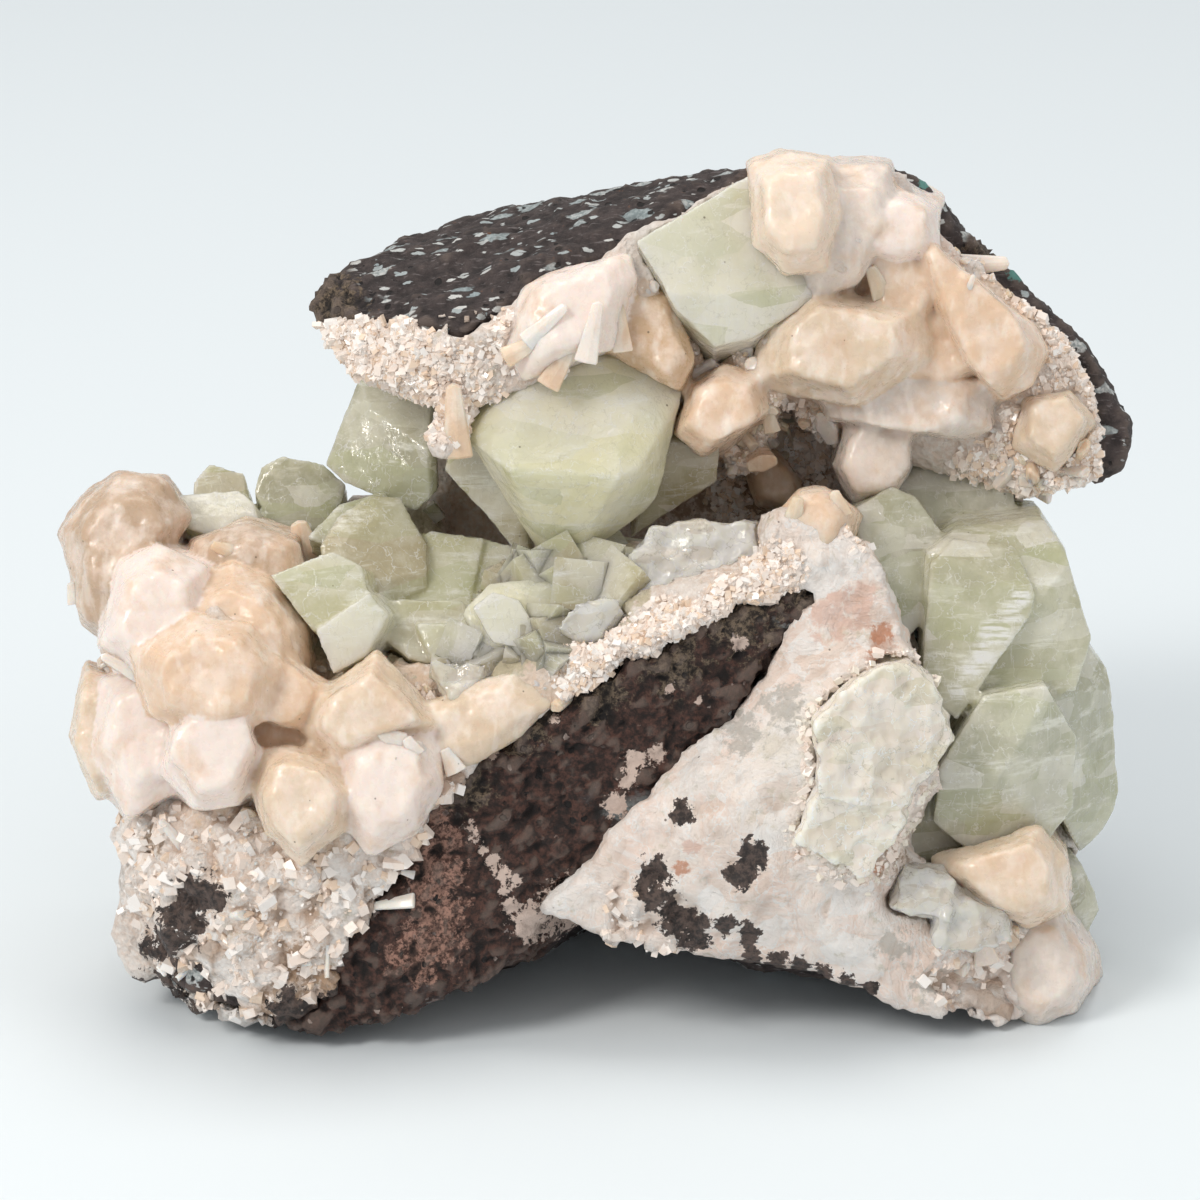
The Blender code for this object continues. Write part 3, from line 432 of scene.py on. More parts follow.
# The kinds of surface, each with its patches. They steer the relief, the colour and the small crystals.
SURFACES = {
    "peach": [
        (-58, 0, -14, 20), (-46, -14, -28, 20), (-32, -12, -27, 13), (-38, -26, -32, 9), (-60, -18, -20, 10),
        (-12, -11, -27, 8), (26, 34, 0, 22), (4, 32, -4, 12), (44, 36, 2, 14), (18, 22, 6, 14),
        (56, -36, -20, 12), (58, 18, 0, 8),
    ],
    "fibrous": [
        (28, -18, -30, 20), (16, -32, -32, 18), (34, -36, -34, 22), (4, -38, -32, 14), (38, -2, -22, 16),
        (44, -48, -32, 18), (58, -48, -26, 12), (32, 8, -20, 10), (-4, 38, -8, 9), (36, 54, 4, 12),
        (44, 46, 6, 8),
    ],
    "sugary": [
        (-30, 31, -4, 12), (-20, 27, -6, 9), (-10, 34, -6, 6), (57, 30, 6, 12), (60, 20, 6, 12),
        (52, 14, 8, 9), (28, 34, -4, 4), (34, 40, 2, 4), (26, 20, 8, 8), (22, 15, 14, 9), (10, -4, -24, 6),
        (-2, -9, -27, 5), (-14, -17, -29, 4), (-22, -24, -30, 4), (-24, -14, -28, 4), (-40, 14, -2, 8),
        (17, -0.5, -23, 5), (23, 4, -20, 5), (4, -6, -26, 5), (36, 10, -16, 5),
    ],
    "broken": [
        (-52, -36, -32, 16), (-46, -50, -32, 16), (-32, -38, -32, 14), (-24, -24, -30, 9),
        (-58, -28, -26, 10), (6, -41, -32, 7), (50, -48, -30, 9), (58, -42, -24, 6),
    ],
    "green": [(-30, 3, -12, 15), (-14, -1, -16, 13), (-2, 2, -14, 10), (-45, 12, 0, 8), (-24, 12, -4, 8),
              (42, 6, -6, 8)],
}
# The zones and stains that are only colour, each with its patches. The brown patches are painted shade, in the
# cavity under the roof and in gaps and hollows of the crust.
STAINS_AND_SHADE = {
    "cleaved": [(37, -16, -32, 12), (33, -28, -36, 10), (27, -20, -36, 8)],
    "salmon": [(33.5, -1, -24, 4), (30, -2, -24, 4), (36.5, -6, -25, 2.6), (36, -9, -26, 2),
               (12, -32, -31, 1.6), (-58, -13, -22, 5)],
    "rust": [(36.6, -4.5, -25, 2.0), (35.8, -7.5, -26, 1.8), (10.5, -35, -31, 1.4), (35.5, -34, -30, 2.6)],
    "brown_painted_shade": [(42, -38, -24, 5), (36.5, -33, -28, 4), (-58.5, -30.6, -34, 3.2), (-40, -52, -32, 5),
              (-34, -50, -32, 5), (-28, -22, -30, 3), (-39, -46, -32, 3), (18, 14, 14, 7), (26, 13, 14, 6),
              (11, 14, 14, 5), (52, -41, -26, 2.4), (-66, -14, -18, 2)],
    "grey": [(18.5, -17, -30, 4), (24, -14, -30, 4), (43, -50, -33, 3), (38, -45, -33, 3), (56, -36, -8, 3)],
    "rock": [
        (-52.5, -38.8, -34, 3.4), (-54.6, -41.6, -34, 3.6), (-56.4, -44.2, -34, 3), (-49.6, -39.4, -34, 1.6),
        (-57, -52, -28, 4), (-68, 11, -8, 2), (20, -33.4, -33, 2), (18.2, -35.4, -33, 2),
        (6.6, -35.6, -33, 2.2), (7.6, -38.4, -33, 2.4), (10, -41.4, -33, 2.4), (12.6, -43.6, -32, 2.2),
        (19.4, -43.4, -33, 1.6), (16.2, -42.4, -33, 1.5), (10.8, -27.6, -30, 1.6), (20, -46.6, -31, 1.4),
        (23, -47.2, -31, 1.4), (26, -47.9, -31, 1.4), (29, -48.7, -31, 1.4), (32, -49.6, -31, 1.3),
        (35, -50.6, -31, 1.2), (-40, -54, -31, 3.4), (-34, -53, -31, 3.4),
    ],
}


def dressed_crust(node, name, skin):
    obj = copy_of(node, name)
    fine_skin(obj, skin)
    apply(obj, "SMOOTH", factor=0.5, iterations=1)
    for kind, patches in SURFACES.items():
        strength = strength_of(obj, patches)
        store(obj, kind, strength)
        weigh(obj, kind, strength * PATCH_GAIN)
    roughen(obj, "CLOUDS", 7.0, 1.2)
    roughen(obj, "CLOUDS", 3.0, 1.3)
    roughen(obj, "VORONOI", 6.5, -4.0, "broken")
    roughen(obj, "VORONOI", 2.8, -2.2, "broken")
    roughen(obj, "VORONOI", 6.0, -1.2, "fibrous")
    roughen(obj, "VORONOI", 3.4, 1.2, "peach")
    roughen(obj, "VORONOI", 1.6, -0.9, "sugary")
    roughen(obj, "CLOUDS", 1.3, 0.55)
    stand_flat(obj)
    know_hollows(obj, 0.7, 20)
    for kind, patches in STAINS_AND_SHADE.items():
        store(obj, kind, strength_of(obj, patches))
    return obj


def curves(tree, where, size, width):
    """Thin wandering lines, as cracks and healed cracks are: 1 on a line."""
    noise = noise_of(tree, where, size, 3, 0.5)
    return ramp(tree, maths(tree, "ABSOLUTE", maths(tree, "SUBTRACT", noise, 0.5)), width, 0.0)


bed = dressed_crust("zeolite_bed", "crust_of_the_bed", BED_SKIN)
roof = dressed_crust("zeolite_roof", "crust_of_the_roof", ROOF_SKIN)

zeolite, tree, shader = new_material("zeolite")
place = object_place(tree)
ridge = attribute(tree, "ridge")
fine_noise = noise_of(tree, place, 1.0, 6, 0.72)
colour = layered(tree, (0.84, 0.74, 0.67, 1), [
    (noise_of(tree, place, 9.0, 6, 0.6), 0.35, 0.65, 1.0, (0.76, 0.59, 0.48, 1)),
    (fine_noise, 0.38, 0.62, 0.8, (0.91, 0.85, 0.80, 1)),
    (noise_of(tree, place, 2.5, 6, 0.7), 0.58, 0.72, 0.5, (0.55, 0.44, 0.35, 1)),
])
peach_colour = layered(tree, (*PEACH, 1), [
    (noise_of(tree, place, 4.0, 6, 0.65), 0.35, 0.65, 1.0, (0.84, 0.69, 0.58, 1)),
    (fine_noise, 0.5, 0.68, 0.6, (0.90, 0.80, 0.72, 1)),
])
colour = mix(tree, zone(tree, "peach", place, 2.5, 0.35, 0.3, 0.8), colour, peach_colour)
# Two bent sets of fibres that cross, in turn by places
bent = wobble(tree, place, 9.0, 7.0)
fibres = []
for turn, scale, size in (((0.1, 0.95, 0.2), (0.16, 1.1, 1.1), 1.0),
                          ((0.2, 0.25, 0.1), (1.1, 1.1, 0.16), 0.9)):
    along = add(tree, "Mapping", {"Vector": bent, "Rotation": turn, "Scale": scale})
    fibres.append(noise_of(tree, along.outputs["Vector"], size, 5, 0.65))
crossing = ramp(tree, noise_of(tree, place, 9.0, 2), 0.46, 0.54)
feather = add(tree, "Mix", {0: crossing, 2: fibres[0], 3: fibres[1]}).outputs[0]
feather_colour = layered(tree, (0.98, 0.88, 0.80, 1), [
    (noise_of(tree, place, 8.0, 5, 0.6), 0.36, 0.62, 1.0, (0.96, 0.77, 0.67, 1)),
    (feather, 0.42, 0.66, 0.7, (1.0, 0.94, 0.90, 1)),
    (feather, 0.44, 0.30, 0.4, (0.80, 0.64, 0.53, 1)),
    (noise_of(tree, place, 4.0, 6, 0.7), 0.57, 0.70, 0.35, (0.78, 0.67, 0.58, 1)),
])
fibrous = zone(tree, "fibrous", place, 3.0, 0.3, 0.1, 0.5)
colour = mix(tree, fibrous, colour, feather_colour)
# The split pieces of the fibrous and broken crust, each a little lighter or darker, with white lines in them
piece_depth, piece = cells_of(tree, wobble(tree, place, 3.0, 2.5), 4.5)
chunky = maths(tree, "MAXIMUM", fibrous, zone(tree, "broken", place, 3.0, 0.3, 0.1, 0.5))
for channel, low, share, tint in (("Red", 0.4, 0.75, (0.98, 0.95, 0.92, 1)),
                                  ("Green", 0.6, 0.5, (0.86, 0.68, 0.57, 1))):
    colour = mix(tree, times(tree, ramp(tree, piece[channel], low, 1.0, 0.0, share), chunky), colour, tint)
white_lines = times(tree, curves(tree, wobble(tree, place, 1.5, 1.5), 3.5, 0.02), chunky)
colour = mix(tree, times(tree, white_lines, 0.7), colour, (0.98, 0.96, 0.94, 1))
split_white = layered(tree, (0.96, 0.90, 0.84, 1),
                      [(noise_of(tree, place, 4.0, 6, 0.65), 0.4, 0.62, 1.0, (0.88, 0.80, 0.70, 1))])
colour = mix(tree, zone(tree, "cleaved", place, 4.0, 0.4, 0.1, 0.6), colour, split_white)
colour = mix(tree, zone(tree, "green", place, 2.5, 0.4, 0.2, 0.6), colour, (0.60, 0.53, 0.38, 1))
# Salmon, rust and grey stains; the brown layer is painted shade
for kind, size, reach, share, stain_and_shade in (
        ("salmon", 2.0, 0.45, 0.6, (0.76, 0.47, 0.37, 1)), ("rust", 1.0, 0.4, 0.8, (0.60, 0.24, 0.12, 1)),
        ("brown_painted_shade", 1.6, 0.5, 0.8, (0.33, 0.20, 0.11, 1)), ("grey", 1.6, 0.5, 0.7, (0.50, 0.47, 0.42, 1))):
    colour = mix(tree, times(tree, zone(tree, kind, place, size, reach, 0.15, 0.6), share), colour, stain_and_shade)
# Painted shade: orange-brown darkening in the hollows; painted light: paler ridges
colour = layered(tree, colour, [
    (ridge, 0.0, -0.9, 0.65, (0.48, 0.31, 0.20, 1)),
    (ridge, 0.25, 0.9, 0.5, (0.93, 0.88, 0.84, 1)),
])
specks = spots(tree, place, 2.0, 0.11, 0.35)[0]
colour = mix(tree, times(tree, specks, 0.85), colour, (0.12, 0.08, 0.05, 1))
rock_colour = mix(tree, ramp(tree, fine_noise, 0.4, 0.6), (0.030, 0.022, 0.020, 1), (0.13, 0.09, 0.075, 1))
colour = mix(tree, zone(tree, "rock", place, 2.2, 0.6, 0.04, 0.10), colour, rock_colour)
crystal_depth = cells_of(tree, wobble(tree, place, 1.5, 0.5), 0.8)[0]
height = times(tree, crystal_depth, ramp(tree, fibrous, 0, 1, 1.0, 0.15))
for rise in (times(tree, noise_of(tree, place, 0.6, 6, 0.72), 1.1),
             times(tree, feather, ramp(tree, fibrous, 0, 1, 0.0, 1.8))):
    height = maths(tree, "ADD", height, rise)
height = maths(tree, "SUBTRACT", height, times(tree, times(tree, piece_depth, 2.0), chunky))
lay_on(tree, shader, colour, ramp(tree, fine_noise, 0.35, 0.65, 0.3, 0.6), height, 0.9, 0.45)
for crust, node in ((bed, "zeolite_bed"), (roof, "zeolite_roof")):
    crust.data.materials.append(zeolite)
    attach(crust, "root")
    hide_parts(node)


# The large stilbites: satiny peach to white pillows with flat faces. Each is a block cut by the planes of the
# outline it shows, with a second block turned a little in it. Crystals that touch share one skin. A crystal is
# known by its outline, its depth, how far its face bulges, and its colour.

STILBITE_SKIN = 0.46
ONE_FACE = math.radians(17)
BLOCK_SIZE = 90.0
COLOUR_REACH = 1.5
PILLOW_LEAN = 0.4
PILLOW_ROOT = 12.0
PILLOW_RIM = 0.92
PILLOW_FACE = 0.6
PILLOW_SWELL = 1.1
TWIN_SEED = 3
WHITE_PINK = (0.85, 0.74, 0.68)
TAN = (0.52, 0.38, 0.27)
CREAM = (0.70, 0.56, 0.42)
COLUMN = (0.80, 0.66, 0.53)
AMBER = (0.60, 0.42, 0.27)
GREY_PINK = (0.70, 0.62, 0.56)

BED_PILLOWS = [
    ([(-69, 8.5), (-66.5, 12.5), (-62.5, 15.5), (-57, 15), (-54.5, 11), (-60, 5), (-63.5, -4), (-66.5, -2)],
     -7, 7, TAN),
    ([(-61.5, 4.2), (-57.5, 6), (-52, 4), (-52.3, 0), (-57, -9.8), (-60, -9), (-64.2, -5.5)],
     -20, 7, WHITE_PINK),
    ([(-51.5, 2.5), (-48, 4), (-43.5, 2), (-39, -3.5), (-38.5, -7.5), (-44.5, -9), (-50, -13.5), (-56, -14.5),
      (-54, -6)], -19, 8, PEACH),
    ([(-46.5, -13), (-44.4, -8.2), (-41, -7.8), (-35.4, -12.2), (-38.4, -16), (-48, -14)], -25, 6, PEACH),
    ([(-50.5, -14.2), (-47, -14.5), (-45, -20.5), (-47.5, -25.7), (-52.3, -26.3), (-56, -22), (-55, -17)],
     -29, 9, WHITE_PINK),
    ([(-43, -20.5), (-40, -19.8), (-35.5, -21.5), (-32.6, -25.5), (-34, -29.5), (-38.8, -33.5),
      (-42.4, -29.8), (-44.4, -24)], -32, 8, CREAM),
    ([(-29.2, -7.8), (-25, -12.9), (-22, -16), (-30.5, -16.5), (-34, -20), (-37.6, -17.2), (-36.5, -13),
      (-31.5, -9.8)], -27, 7, CREAM),
    ([(-66, -10.2), (-63, -11.5), (-61.5, -17), (-61.5, -23), (-64.5, -24.3), (-66.5, -20), (-67.5, -17.5)],
     -18, 6, CREAM),
    ([(45.7, -34.6), (49.3, -32.7), (57.4, -31), (59.9, -34), (59.9, -39.6), (55.5, -41.4), (50, -38.8)],
     -23, 7, CREAM),
    ([(53.4, -44), (55.5, -41.5), (59.5, -41), (62.5, -46), (62.8, -49.3), (61.2, -53), (57, -55),
      (52.6, -51.8)], -20, 6, GREY_PINK),
    ([(24.5, 10.5), (26.5, 13.4), (28.8, 13.6), (32, 11), (30, 5), (25, 5)], -16, 3, PEACH),
    ([(-60, -7), (-53, -2.5), (-46, -4), (-42, -9), (-44, -15), (-50, -17), (-58, -14)], -28, 7, PEACH),
    ([(-64, -11), (-58, -9), (-54, -13), (-55, -24), (-61, -27), (-65, -20)], -23, 5, WHITE_PINK),
    ([(-47, -15), (-40, -14), (-36, -19), (-41, -25), (-47, -24)], -26, 3, PEACH),
    ([(-33, -19), (-28, -16.5), (-22.5, -18), (-21.5, -24), (-25, -30), (-30, -32), (-34, -27)],
     -31, 6, WHITE_PINK),
    ([(-23, -15), (-17, -11.5), (-10, -10.5), (-7, -13), (-11, -17), (-17, -20), (-22, -20.5)],
     -27, 2.5, CREAM),
    ([(-52, 7), (-46, 9), (-40, 7), (-39, 2), (-44, 0), (-51, 2)], -12, 4, TAN),
]
ROOF_PILLOWS = [
    ([(-9.8, 39.5), (-4.2, 42.5), (3.5, 43.8), (4, 41.7), (1.4, 34.5), (-2.9, 32.2), (-10, 30.4), (-11.6, 33)],
     -6, 6, WHITE_PINK),
    ([(4.3, 41.7), (8.5, 39.5), (10.4, 33.5), (11.3, 31), (10, 28.5), (6, 32), (1.5, 33)], -4, 3.5, AMBER),
    ([(13, 27.5), (16.5, 29.6), (20.5, 28.5), (21, 25.5), (17, 22.5), (13, 20.3), (10.9, 22)], -3, 6, PEACH),
    ([(20.5, 56), (24, 57.2), (29, 56.6), (30.2, 50), (28.6, 44), (24.5, 43.4), (21, 46.5)], -1, 8, COLUMN),
    ([(28, 56), (37, 56), (38, 50), (35, 45.5), (31.5, 41.5), (27.5, 41)], 2, 5, GREY_PINK),
    ([(34.5, 50), (39.2, 52.5), (43, 50.5), (43, 46.6), (39.2, 45), (34.5, 46)], 4, 6, WHITE_PINK),
    ([(21.7, 35.8), (25.9, 39.3), (35.7, 38.5), (42, 36.5), (42.3, 32), (34, 26.4), (30, 26.8), (20.5, 29.6)],
     1, 9, CREAM),
    ([(34.6, 45.5), (40, 44.5), (44, 41), (42.6, 37), (36, 38)], 5, 6, PEACH),
    ([(42, 46.4), (47.1, 41.8), (56, 34.7), (57.2, 32), (55.5, 28.7), (52.5, 27.1), (49, 31), (44.5, 39)],
     2, 8, PEACH),
    ([(42, 36.5), (46.9, 34.5), (50, 31), (46, 28.5), (39.5, 29)], 4, 6, PEACH),
    ([(29.4, 26.4), (42.6, 28.5), (50.6, 27.5), (50.2, 23), (46.9, 21.9), (30.1, 24.5)], 2, 6, GREY_PINK),
    ([(33, 23), (40, 22.5), (39.5, 17.7), (37.5, 14.3), (33.4, 13.8), (31.3, 18)], 5, 7, GREY_PINK),
    ([(18.9, 20.4), (21.4, 19.8), (25.3, 14.6), (25, 12), (21, 12.9)], 14, 3, AMBER),
    ([(56, 25.5), (61.1, 26.5), (63.3, 23), (59, 17.8), (55, 20.5)], 2, 6, CREAM),
]


def pillow_corners(outline, back, bulge):
    """A pillow's corners: its outline, the same at its root, and two smaller ones on its domed face."""
    middle_across = sum(across for across, up in outline) / len(outline)
    middle_up = sum(up for across, up in outline) / len(outline)
    corners = []
    for across, up in outline:
        for part, depth in ((1.0, PILLOW_ROOT), (1.0, 0.0), (PILLOW_RIM, -0.5 * bulge), (PILLOW_FACE, -bulge)):
            inner_across = middle_across + part * (across - middle_across)
            inner_up = middle_up + part * (up - middle_up)
            corners.append(seen(inner_across, inner_up, back + depth + PILLOW_LEAN * (inner_up - middle_up)))
    return corners


def flat_faces(corners):
    """The planes of a crystal through its corners, with nearly parallel neighbours made one."""
    hull = bmesh.new()
    for corner in corners:
        hull.verts.new(corner)
    bmesh.ops.convex_hull(hull, input=hull.verts)
    bmesh.ops.recalc_face_normals(hull, faces=hull.faces)
    kept = []
    for face in sorted(hull.faces, key=lambda face: -face.calc_area()):
        near = [total for total in kept if total.normalized().dot(face.normal) > math.cos(ONE_FACE)]
        if near:
            near[0] += face.normal * face.calc_area()
        else:
            kept.append(face.normal * face.calc_area())
    hull.free()
    normals = np.array([total.normalized() for total in kept])
    reach = (np.array(corners) @ normals.T).max(axis=0)
    return np.hstack([normals, reach[:, None]])


def cut_crystal(planes, middle):
    """A closed block with these planes as its faces."""
    bpy.ops.object.select_all(action="DESELECT")
    bpy.ops.mesh.primitive_cube_add(size=BLOCK_SIZE * MM, location=middle)
    bpy.ops.object.transform_apply(location=True)
    obj = bpy.context.object
    bpy.ops.object.mode_set(mode="EDIT")
    for *normal, reach in planes:
        bpy.ops.mesh.select_all(action="SELECT")
        bpy.ops.mesh.bisect(plane_co=Vector(normal) * reach, plane_no=normal, use_fill=True, clear_outer=True)
    bpy.ops.object.mode_set(mode="OBJECT")
    return obj


def grown_together(parts, name, skin):
    """Joins some crystals into one skin."""
    choose(parts[0])
    for part in parts:
        part.select_set(True)
    if len(parts) > 1:
        bpy.ops.object.join()
    obj = bpy.context.object
    obj.name = name
    fine_skin(obj, skin)
    return obj


def colour_crystals(obj, crystals, ground):
    """Gives each point the colour of the crystal whose faces it is nearest to, or lies in."""
    places = places_of(obj)
    depth = np.full(len(places), 1.0)
    colours = np.tile(np.array([*ground, 1.0]), (len(places), 1))
    for planes, colour in crystals:
        outside = (places @ planes[:, :3].T - planes[:, 3]).max(axis=1)
        nearer = (outside < depth) & (outside < COLOUR_REACH * MM)
        colours[nearer, :3] = colour
        depth = np.minimum(depth, outside)
    colour_layer = obj.data.attributes.new("crystal_colour", "FLOAT_COLOR", "POINT")
    colour_layer.data.foreach_set("color", colours.ravel())


def turned_planes(planes, middle, turn, size):
    """The same planes turned about the crystal's middle and drawn towards it."""
    normals = planes[:, :3] @ np.array(turn).T
    reach = planes[:, 3] - planes[:, :3] @ np.array(middle)
    return np.hstack([normals, (reach * size + normals @ np.array(middle))[:, None]])


def stilbites(name, pillows, seed):
    rng = np.random.default_rng(seed)
    parts, known = [], []
    for outline, back, bulge, colour in pillows:
        corners = pillow_corners(outline, back, bulge)
        middle = sum(corners, Vector()) / len(corners)
        planes = flat_faces(corners)
        planes[:, 3] += PILLOW_SWELL * MM
        twin_axis = Vector((rng.uniform(-1, 1), -0.3, rng.uniform(-1, 1)))
        for angle, size in ((0.0, 0.99), (rng.uniform(0.08, 0.16), 0.97)):
            part_planes = turned_planes(planes, middle, Matrix.Rotation(angle, 3, twin_axis), size)
            parts.append(cut_crystal(part_planes, middle))
        known.append((planes, colour))
    obj = grown_together(parts, name, STILBITE_SKIN)
    apply(obj, "SMOOTH", factor=0.5, iterations=9)
    colour_crystals(obj, known, PEACH)
    roughen(obj, "CLOUDS", 6.0, 1.3)
    roughen(obj, "CLOUDS", 1.8, 0.35)
    stand_flat(obj)
    know_hollows(obj, 1.2, 60)
    return obj, [planes for planes, colour in known]


def crystal_colour(tree):
    return add(tree, "Attribute", attribute_name="crystal_colour").outputs["Color"]


satin, tree, shader = new_material("stilbite")
place = object_place(tree)
ridge = attribute(tree, "ridge")
sheaf = noise_of(tree, object_place(tree, turn=(0.3, 0.5, 0.0), scale=(1.0, 1.0, 0.22)), 1.6, 3, 0.5)
# The last two layers are painted shade, orange-brown in the hollows between the crystals, and painted light on
# their ridges
colour = layered(tree, crystal_colour(tree), [
    (noise_of(tree, place, 5.0, 6, 0.62), 0.42, 0.66, 0.5, (0.92, 0.81, 0.73, 1)),
    (noise_of(tree, place, 7.0, 5, 0.6), 0.50, 0.72, 0.6, (0.68, 0.48, 0.33, 1)),
    (sheaf, 0.5, 0.7, 0.35, (0.94, 0.87, 0.80, 1)),
    (ridge, -0.1, -1.0, 0.85, (0.52, 0.30, 0.17, 1)),
    (ridge, 0.25, 0.9, 0.5, (0.95, 0.88, 0.81, 1)),
])
specks = spots(tree, place, 2.0, 0.11, 0.4)[0]
colour = mix(tree, times(tree, specks, 0.85), colour, (0.14, 0.09, 0.05, 1))
sheen = ramp(tree, noise_of(tree, place, 1.5, 5, 0.65), 0.35, 0.65, 0.18, 0.45)
height = maths(tree, "ADD", times(tree, sheaf, 0.8), noise_of(tree, place, 1.6, 2, 0.5))
lay_on(tree, shader, colour, sheen, height, 0.3, 0.3)
shader.inputs["Subsurface Weight"].default_value = 0.5
shader.inputs["Subsurface Scale"].default_value = 2.5 * MM
shader.inputs["Subsurface Radius"].default_value = (1.0, 0.62, 0.42)
stilbite_groups, stilbite_planes = [], []
for name, pillows in (("stilbites_of_the_bed", BED_PILLOWS), ("stilbites_of_the_roof", ROOF_PILLOWS)):
    group, group_planes = stilbites(name, pillows, TWIN_SEED)
    stilbite_groups.append(group)
    stilbite_planes += group_planes
    group.data.materials.append(satin)
    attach(group, "root")


# Small stilbite blades: flat six-sided bars with wedge ends, white to amber, sunk by their roots into the
# crust between the large crystals. One blade is modelled and copied in many sizes and turns.

BLADE_SEED = 12
LOWEST_ROOT = 4.0
PILLOW_CLEARANCE = 0.3
MOST_ROCK = 0.05
SIZE_POWER = 2.5
TOWARDS_VIEW = 0.25
SINGLE_SINK = 0.06
BLADE_TONES = [WHITE_PINK, PEACH, CREAM, WHITE_PINK, GREY_PINK, PEACH, PEACH]
BROKEN_TONES = [WHITE_PINK, (0.87, 0.82, 0.76), (0.84, 0.74, 0.66), (0.90, 0.86, 0.82)]
# Each single blade: where it shows (across, up), its length, width, turn in the view in degrees, and tone
SINGLE_BLADES = [
    (-18.8, 23.5, 11, 4.4, 4, PEACH), (48.2, 41, 3.4, 1.3, -20, WHITE_PINK),
    (51.6, 22, 2.6, 1.2, 80, WHITE_PINK),
    (-37.5, 13.6, 8.5, 4.4, -14, PEACH), (-34.6, 12.4, 6, 3.6, 30, PEACH), (-38.6, 7.6, 6.5, 5, 15, PEACH),
    (-61.4, -9.2, 9.5, 2.4, 60, WHITE_PINK), (-55.5, -30.6, 6.5, 2.2, 42, WHITE_PINK),
    (23, 20, 7, 3, -10, PEACH), (-68.5, 1, 3.2, 2.8, 15, GREY_PINK), (-27.4, -17.8, 4, 3.4, 60, WHITE_PINK),
    (-24.6, -19, 3, 2.8, 30, WHITE_PINK),
    (-5, 31, 8, 3.6, -30, PEACH), (-1, 35, 9, 3.4, -12, WHITE_PINK), (-7, 36, 8, 3.0, -48, WHITE_PINK),
    (2.6, 36, 8, 3.0, 6, PEACH), (-9.6, 33, 7, 3.2, -62, CREAM), (22, 24, 5, 2.6, 12, CREAM),
    (36, 41.5, 5, 3.4, 24, CREAM), (16, 32, 5, 3, 50, CREAM), (50, -45.5, 4.4, 4, 12, WHITE_PINK),
    (25.4, 11.5, 4.6, 3.4, -14, CREAM), (31, 12.6, 4, 3, 20, PEACH), (-19.5, -20.8, 4, 3.2, 26, WHITE_PINK),
    (-15.6, -33.6, 3, 1.6, 35, WHITE_PINK), (63.2, 2.4, 7.6, 3.0, 12, PEACH), (-49, 6.6, 4, 2.6, 70, PEACH),
]


def blade_shape():
    """One blade a millimetre wide and nearly two long: its points and faces."""
    bpy.ops.object.select_all(action="DESELECT")
    bpy.ops.mesh.primitive_cylinder_add(vertices=6, radius=0.5 * MM, depth=1.8 * MM)
    obj = bpy.context.object
    for vertex in obj.data.vertices:
        vertex.co.y *= 0.48
        if vertex.co.z > 0:
            vertex.co.x *= 0.5
            vertex.co.y *= 0.7
            vertex.co.z -= 0.6 * abs(vertex.co.x)
    apply(obj, "BEVEL", width=0.05 * MM, segments=1)
    points = places_of(obj).copy()
    faces = [list(polygon.vertices) for polygon in obj.data.polygons]
    bpy.data.objects.remove(obj, do_unlink=True)
    return points, faces


def many(name, shapes):
    """One mesh of many copies. Each is its points, its faces and its colour."""
    points, faces, colours, count = [], [], [], 0
    for shape, shape_faces, colour in shapes:
        points.append(shape)
        faces += [[corner + count for corner in face] for face in shape_faces]
        colours.append(np.tile([*colour, 1.0], (len(shape), 1)))
        count += len(shape)
    made = bpy.data.meshes.new(name)
    made.from_pydata(np.concatenate(points).tolist(), [], faces)
    colour_layer = made.attributes.new("crystal_colour", "FLOAT_COLOR", "POINT")
    colour_layer.data.foreach_set("color", np.concatenate(colours).ravel())
    obj = bpy.data.objects.new(name, made)
    bpy.context.scene.collection.objects.link(obj)
    return obj


def scattered(host, template, count, smallest, largest, kind, lean, sunk, tones, seed):
    """Copies of a shape stood on the host's faces of one kind, leaning at random, their roots sunk in."""
    mesh = host.data
    total = len(mesh.polygons)
    middles, normals, areas = np.empty(total * 3), np.empty(total * 3), np.empty(total)
    mesh.polygons.foreach_get("center", middles)
    mesh.polygons.foreach_get("normal", normals)
    mesh.polygons.foreach_get("area", areas)
    middles, normals = middles.reshape(-1, 3), normals.reshape(-1, 3)
    levels = np.empty(len(mesh.vertices))
    mesh.attributes[kind].data.foreach_get("value", levels)
    rock = np.empty(len(mesh.vertices))
    mesh.attributes["rock"].data.foreach_get("value", rock)
    levels = np.clip(levels * PATCH_GAIN, 0, 1) * (rock < MOST_ROCK)
    first_corners = np.array([polygon.vertices[0] for polygon in mesh.polygons])
    to_the_front = np.clip(0.5 - normals[:, 1], 0.05, 1)
    chance = areas * levels[first_corners] ** 2 * to_the_front * (middles[:, 2] > LOWEST_ROOT * MM)
    for planes in stilbite_planes:
        chance *= (middles @ planes[:, :3].T - planes[:, 3]).max(axis=1) > PILLOW_CLEARANCE * MM
    rng = np.random.default_rng(seed)
    picked = rng.choice(total, size=count, p=chance / chance.sum())
    points, faces = template
    copies = []
    for face in picked:
        size = smallest + (largest - smallest) * rng.random() ** SIZE_POWER
        outward = Vector(normals[face] + rng.normal(0, lean, 3)).normalized()
        turn = outward.to_track_quat("Z", "Y").to_matrix() @ Matrix.Rotation(rng.uniform(0, 6.3), 3, "Z")
        shape = points * size * rng.uniform(0.75, 1.25, 3)
        tone = np.array(tones[rng.integers(len(tones))]) * rng.uniform(0.92, 1.04)
        root = middles[face] - normals[face] * sunk * size * MM
        placed = shape @ np.array(turn).T + root
        placed[:, 2] = np.maximum(placed[:, 2], 0.0)
        copies.append((placed, faces, tone))
    return copies


